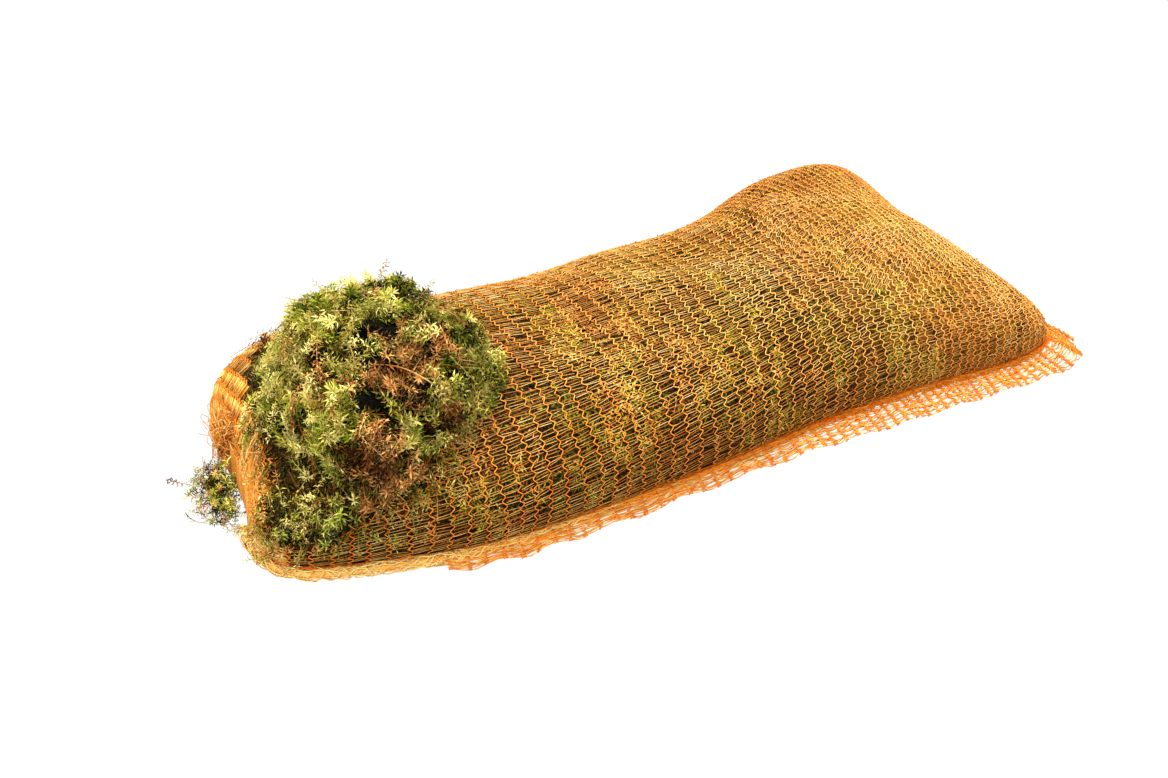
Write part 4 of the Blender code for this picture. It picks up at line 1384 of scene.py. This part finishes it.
def seam_line(share):
    """The rolled seam's middle line, and the level way out from the sack there."""
    quarter_turns = SEAM_LEFT + (SEAM_RIGHT - SEAM_LEFT) * share
    along = np.sin(quarter_turns * math.pi / 2)
    climb = ease((share - SEAM_CLIMB_START) / (1.0 - SEAM_CLIMB_START))
    around = SEAM_AROUND + (SEAM_END_AROUND - SEAM_AROUND) * climb
    point, out, _, _ = surface_frame(along, around)
    radius = seam_radius(share)
    line = point + out * (radius + SEAM_CLEARANCE)[..., None]
    line[..., 2] = np.maximum(line[..., 2], radius + LOWEST_Z)
    level = unit(out * np.array([1.0, 1.0, 0.0]))
    return line, level


def round_seam(share, turn, reach):
    """Points round the seam's line: turn in whole turns, reach as a share of the seam's radius."""
    line, level = seam_line(share)
    ahead = unit(np.gradient(line, axis=1))
    up = unit(np.cross(ahead, level))
    side = np.cross(up, ahead)
    angle = (turn * 2 * math.pi)[..., None]
    return line + (side * np.cos(angle) + up * np.sin(angle)) * (seam_radius(share) * reach)[..., None]


def crumbs():
    """Loose bits of moss caught on the rolled seam's left end."""
    rng = np.random.default_rng(72)
    count = CRUMBS
    share = rng.uniform(0.0, 0.07, (1, count))
    line, level = seam_line(share)
    reach = rng.uniform(-0.004, -0.0005, (count, 1))
    base = line[0] + level[0] * (seam_radius(share[0])[:, None] + reach)
    base[:, 2] += rng.uniform(-0.001, 0.003, count)
    start = unit(rng.normal(0.0, 1.0, (count, 3)) * np.array([1.0, 1.0, 0.4]) + np.array([0.0, 0.0, 0.2]))
    bend = rng.normal(0.0, 0.3, (count, 3))
    tone = green_or_brown(rng, count, 0.35, (0.20, 0.34), (0.66, 0.92))
    length = rng.uniform(0.003, 0.006, count)
    return shoots(base, start, bend, length, tone, rng, "crumb")


# The seam's strands in two layers: how many, their turns round the seam, how far they stray from these,
# their radius and the seed of their straying.
SEAM_LAYERS = ((15, 3, 0.60, 0.00042, 84), (6, -26, 0.5, 0.00034, 104))
SEAM_POINTS = 300


def seam_strands():
    """The rolled edge: a core of rolled net, net tucked in behind it, and strands along it and across."""
    rng = np.random.default_rng(81)
    share = np.linspace(0.0, 1.0, SEAM_POINTS)[None, :]
    line, level = seam_line(share)
    thick = 0.60 + 0.32 * ease((share - 0.35) / 0.2)
    tone = 0.60 - 0.48 * ease((share - 0.3) / 0.2) + 0.3 * patches(line, 0.01, 82)
    core = tubes(line, seam_radius(share) * thick, 8, np.clip(tone, 0, 1))
    tucked = line - level * (seam_radius(share) + 0.0008)[..., None] + np.array([0.0, 0.0, 0.0012])
    parts = [core, tubes(tucked, TUCKED_NET_RADIUS, 6, np.full(1, 0.12))]
    for strands, turns, stray_turns, radius, seed in SEAM_LAYERS:
        number = np.arange(strands)[:, None]
        moved = line + number[..., None]
        stray = patches(moved, 0.010, seed) - 0.5
        turn = number / strands + turns * share + stray_turns * stray
        loose = 0.70 + 0.70 * ease((0.30 - share) / 0.30)
        reach = 0.98 + loose * (patches(moved, 0.008, seed + 1) - 0.5)
        tone = 0.80 - 0.52 * ease((share - 0.30) / 0.20) + rng.normal(0.0, 0.18, (strands, 1))
        tone = np.clip(tone + 0.6 * stray, 0, 1)
        path = round_seam(np.broadcast_to(share, turn.shape), turn, reach)
        parts.append(tubes(path, radius, 3, tone))
    return parts


def frill_width(share):
    """How far the frill reaches out from the seam."""
    opened = ease((share - FRILL_START) / FRILL_OPENS_OVER)
    grown = ease((share - FRILL_GROWS_FROM) / FRILL_GROWS_OVER)
    flare = ease((share - FLARE_START) / (1.0 - FLARE_START))
    narrow = FRILL_FIRST + (FRILL_NARROW - FRILL_FIRST) * opened
    return narrow + (FRILL_WIDE - FRILL_NARROW) * grown + FLARE_EXTRA * flare


def frill_point(share, reach, layer):
    """A point on the frill, which droops in ruffles from the seam to the floor.

    reach runs from 0 at the seam to 1 at the free edge, and layer is how far the frill's middle is lifted.
    """
    share, reach = np.broadcast_arrays(share, reach)
    line, out = seam_line(share)
    inner = line + out * (seam_radius(share) * 0.6)[..., None]
    flare = ease((share - FLARE_START) / (1.0 - FLARE_START))
    turns = share * 2 * math.pi
    ruffle = np.sin(turns * RUFFLES + RUFFLE_DRIFT * np.sin(turns * RUFFLE_DRIFTS))
    point = inner + out * (frill_width(share) * reach * (1.0 + RUFFLE_REACH * ruffle))[..., None]
    droop = inner[..., 2] * (1.0 - reach) + FRILL_FLOOR_Z * reach
    lift = reach * (RUFFLE_HEIGHT * (1.0 + ruffle) / 2 + flare * FLARE_LIFT)
    bulge = layer * np.sin(math.pi * np.minimum(reach, 1.0))
    point[..., 2] = np.maximum(droop + lift + bulge, FRILL_LOWEST_Z)
    return point


def frill_rungs():
    """Where the frill's rungs stand, as shares of the seam: at the net's pillars, closer round the flare."""
    share = (np.arcsin(PILLARS) / (math.pi / 2) - SEAM_LEFT) / (SEAM_RIGHT - SEAM_LEFT)
    share = share[(share > FRILL_START + 0.04) & (share < 0.955)]
    return np.concatenate([share, np.linspace(0.965, 0.998, 5)])


def rung_chains(rungs, rng):
    """The frill's rungs: three zigzags that cross each other at every step, like the loops of a chain."""
    count, steps = len(rungs), 13
    gap = np.median(np.diff(rungs))
    reach = np.linspace(-0.05, 1.06, steps)[None, :]
    lean = rng.normal(0.0, 0.10, (count, 1)) * gap * reach
    parts = []
    for swing, height in ((0.13, 0.0009), (-0.13, 0.0003), (0.05, 0.0006)):
        wobble = swing * gap * np.cos(np.arange(steps) * math.pi)
        wobble = wobble + rng.normal(0.0, 0.02, (count, steps)) * gap
        path = frill_point(rungs[:, None] + lean + wobble, reach, height)
        path[..., 2] += height
        pale = rng.normal(0.0, 0.12, (count, 1)) + 0.4 * (rng.random((count, steps)) < 0.2)
        knob = RUNG_RADIUS * (1.0 + 0.35 * rng.random((count, steps)))
        parts.append(tubes(path, knob, 4, np.clip(0.26 + pale, 0, 1)))
    return parts


def frill_ladder():
    """The frill: knobbly rungs where the pillars run past the seam, and rows of thin threads between them.

    The thin threads are held by the rungs, sag between them, and lie in two layers, because the sack's two
    sides are sewn together there.
    """
    rng = np.random.default_rng(91)
    rungs = frill_rungs()
    parts = rung_chains(rungs, rng)
    between = np.linspace(0.0, 1.0, 5)[:-1]
    place = (rungs[:-1, None] + np.diff(rungs)[:, None] * between).ravel()
    sag = np.tile(np.sin(math.pi * between), len(rungs) - 1)
    for layer, levels in ((0.0018, 12), (0.0002, 11)):
        for level in (np.arange(levels) + 0.6) / levels:
            row = np.stack([place * 9, np.full_like(place, level), np.zeros_like(place)], axis=-1)
            stray = 0.16 * (patches(row, 0.07, 92) - 0.5)
            path = frill_point(place[None], (level + stray + 0.04 * sag)[None], layer)
            tone = random_tones(rng, 0.62, 0.24, (1, len(place)))
            parts.append(tubes(path, FRILL_THREAD_RADIUS, 3, tone))
    return parts


def gathered_bunch():
    """The net's end drawn together: fine strands that curl out of one place, and loops that hang from it.

    A strand is an arc of a circle from a place in the bunch: size (way sin(arc t) + turn (1 - cos(arc t))).
    """
    rng = np.random.default_rng(95)
    strands, steps = BUNCH_STRANDS, 8
    middle = np.array(BUNCH_CENTRE) - MIDDLE
    t = np.linspace(0.0, 1.0, steps)[None, :, None]
    home = unit(rng.normal(0.0, 1.0, (strands, 1, 3)) + np.array([-0.5, -0.2, 0.0]))
    home = home * rng.uniform(0.25, 0.80, (strands, 1, 1))
    way = unit(rng.normal(0.0, 1.0, (strands, 1, 3)))
    turn = unit(rng.normal(0.0, 1.0, (strands, 1, 3)))
    size = rng.uniform(0.08, 0.30, (strands, 1, 1))
    arc = rng.uniform(2.0, 6.0, (strands, 1, 1))
    curl = way * np.sin(arc * t) + turn * (1.0 - np.cos(arc * t))
    paths = middle + (home + size * curl) * np.array(BUNCH_HALF_SIZE)
    bunch = tubes(paths, BUNCH_RADIUS, 3, random_tones(rng, 0.60, 0.24, (strands, 1)))
    return [bunch, hanging_loops(BUNCH_LOOPS, middle, t[..., 0], rng)]


def hanging_loops(loops, middle, t, rng):
    """Loops of thread that hang under the bunch: narrow arches turned upside down."""
    span = rng.uniform(0.002, 0.005, (loops, 1))
    hang = rng.uniform(0.004, 0.010, (loops, 1))
    side = rng.uniform(-0.016, 0.008, (loops, 1))
    x = -0.004 - 0.004 * rng.random((loops, 1)) - 0.001 * np.sin(math.pi * t)
    y = side + span * (t - 0.5)
    z = -0.008 - hang * np.sin(math.pi * t) ** 0.7
    paths = middle + np.stack(np.broadcast_arrays(x, y, z), axis=-1)
    return tubes(paths, LOOP_RADIUS, 3, np.full(loops, 0.5))


def hem_down(rng):
    """Wavy strands that run down the near half of the sack's blunt left tip."""
    strands, steps = HEM_STRANDS_DOWN, 40
    t = np.linspace(0.0, 1.0, steps)[None, :]
    turn = math.radians(168) + math.radians(44) * np.arange(strands)[:, None] / strands
    quarter = -1.0 + (0.16 - 0.13 * t) * rng.uniform(0.2, 1.0, (strands, 1))
    stray = rng.normal(0.0, 1.0, (strands, 1)) * np.sin(30 * t + rng.uniform(0, 6, (strands, 1)))
    along = np.sin(np.clip(quarter + 0.010 * stray, -0.995, 0.0) * math.pi / 2)
    around = math.pi / 2 + (turn - math.pi / 2) * (0.25 + 0.75 * t)
    point, out, _, _ = surface_frame(along, around)
    paths = point + out * (0.0010 + 0.0012 * rng.random((strands, 1)))[..., None]
    tone = random_tones(rng, 0.55, 0.22, (strands, 1))
    return tubes(paths, HEM_DOWN_RADIUS, 3, tone, clear_of_mouth(paths, HEM_RUNS_OVER))


def hem_across(rng):
    """Short strands that lie across the left tip and stand a little off it in their middle."""
    count = HEM_STRANDS_ACROSS
    quarter = rng.uniform(-0.998, -0.90, (count, 1))
    around = rng.uniform(math.radians(100), math.radians(212), (count, 1))
    t = np.linspace(-1.0, 1.0, 7)[None, :]
    reach = rng.uniform(0.02, 0.06, (count, 1))
    lean = rng.uniform(-0.10, 0.10, (count, 1))
    along = np.sin(np.clip(quarter + reach * t, -0.999, 0.0) * math.pi / 2)
    point, out, _, _ = surface_frame(along, around + lean * t)
    paths = point + out * (0.0006 + 0.0016 * rng.random((count, 1)) * (1 - t**2))[..., None]
    tone = random_tones(rng, 0.70, 0.24, (count, 1))
    return tubes(paths, HEM_ACROSS_RADIUS, 3, tone, clear_of_mouth(paths, HEM_RUNS_OVER))


def end_hem():
    """The net drawn over the blunt left tip: strands down it and across, and more threads between pillars."""
    rng = np.random.default_rng(96)
    more = threads_between(np.arange(7), 5, 13, lighter=0.42, radius=HEM_FILAMENT_RADIUS)
    return [hem_down(rng), hem_across(rng), more]


def build_pieces():
    """Makes every piece and sets it in place of its solid."""
    bed = piece("packed_moss_bed", moss_bed(), MATERIALS["bed"], "packed_moss")
    piece("pressed_moss_leaves", pressed_moss(), MATERIALS["pressed"], smooth=False)
    half = len(PILLARS) // 2
    left, right = np.arange(half), np.arange(half, len(PILLARS))
    left_net = stitched_pillars(left, 11) + torn_edge() + drawn_shut(-1.0, LEFT_END_STRANDS, 17)
    piece("net_pillars_left", left_net, MATERIALS["pillar"], "net_sack")
    right_net = stitched_pillars(right, 15) + drawn_shut(1.0, RIGHT_END_STRANDS, 18)
    piece("net_pillars_right", right_net, MATERIALS["pillar"])
    filaments = threads_between(np.arange(len(PILLARS) - 1), 3, 12)
    piece("net_filaments", [filaments], MATERIALS["filament"])
    piece("clump_core", clump_core(), MATERIALS["core"], "moss_clump")
    outer = clump_shoots(101, 0.0, 0.0, "clump")
    piece("clump_shoots_outer", outer, MATERIALS["clump"], smooth=False)
    # The inner layer is toned darker: painted shade deep in the clump.
    inner = clump_shoots(102, INNER_DEPTH, 0.22, "inner")
    piece("clump_shoots_inner", inner, MATERIALS["inner"], smooth=False)
    strays = spilled_shoots() + rim_shoots() + hollow_shoots() + sprigs() + crumbs()
    piece("clump_stray_shoots", strays, MATERIALS["clump"], smooth=False)
    tuft = tuft_shoots()
    piece("fallen_tuft_shoots", tuft, MATERIALS["tuft"], "fallen_tuft", smooth=False)
    piece("rolled_seam_strands", seam_strands(), MATERIALS["rope"], "rolled_seam")
    piece("frill_ladder", frill_ladder(), MATERIALS["frill"], "seam_frill")
    piece("gathered_bunch_strands", gathered_bunch(), MATERIALS["frill"], "gathered_end")
    piece("end_hem_strands", end_hem(), MATERIALS["rope"])


def aimed(name, data, place, way):
    """Puts a lamp or a camera in its place, looking along a way."""
    thing = bpy.data.objects.new(name, data)
    thing.location = place
    thing.rotation_mode = "QUATERNION"
    thing.rotation_quaternion = way.to_track_quat("-Z", "Y")
    bpy.context.scene.collection.objects.link(thing)
    return thing


def camera():
    """The camera, at the photograph's angle."""
    lens = bpy.data.cameras.new("camera")
    lens.lens = CAMERA_LENS
    lens.sensor_width = CAMERA_SENSOR
    lens.clip_start = 0.05
    turn, rise = math.radians(CAMERA_AZIMUTH), math.radians(CAMERA_ELEVATION)
    back = Vector((math.sin(turn) * math.cos(rise), -math.cos(turn) * math.cos(rise), math.sin(rise)))
    bpy.context.scene.camera = aimed("camera", lens, Vector(LOOK_AT) + back * CAMERA_DISTANCE, -back)


def white_floor():
    """A plain white floor that glows, so that it stays white round the sack."""
    mesh = bpy.data.meshes.new("floor")
    half = FLOOR_HALF_SIZE
    corners = [(-half, -half, 0), (half, -half, 0), (half, half, 0), (-half, half, 0)]
    mesh.from_pydata(corners, [], [(0, 1, 2, 3)])
    material, _, shader = new_material("floor_white", 0.9, 0.0)
    shader.inputs["Base Color"].default_value = (0.04, 0.04, 0.04, 1.0)
    shader.inputs["Emission Color"].default_value = WHITE
    shader.inputs["Emission Strength"].default_value = 1.0
    mesh.materials.append(material)
    floor = bpy.data.objects.new("floor", mesh)
    bpy.context.scene.collection.objects.link(floor)


def studio():
    """A dim white sky, the floor, and the soft lamps."""
    scene = bpy.context.scene
    scene.view_settings.view_transform = "Standard"
    world = bpy.data.worlds.new("studio")
    world.use_nodes = True
    sky = world.node_tree.nodes["Background"]
    sky.inputs["Color"].default_value = WHITE
    sky.inputs["Strength"].default_value = SKY_STRENGTH
    scene.world = world
    white_floor()
    for name, (place, size, power) in LAMPS.items():
        light = bpy.data.lights.new(name, "AREA")
        light.size = size
        light.energy = power
        aimed(name, light, place, -Vector(place))


camera()
studio()
build_pieces()
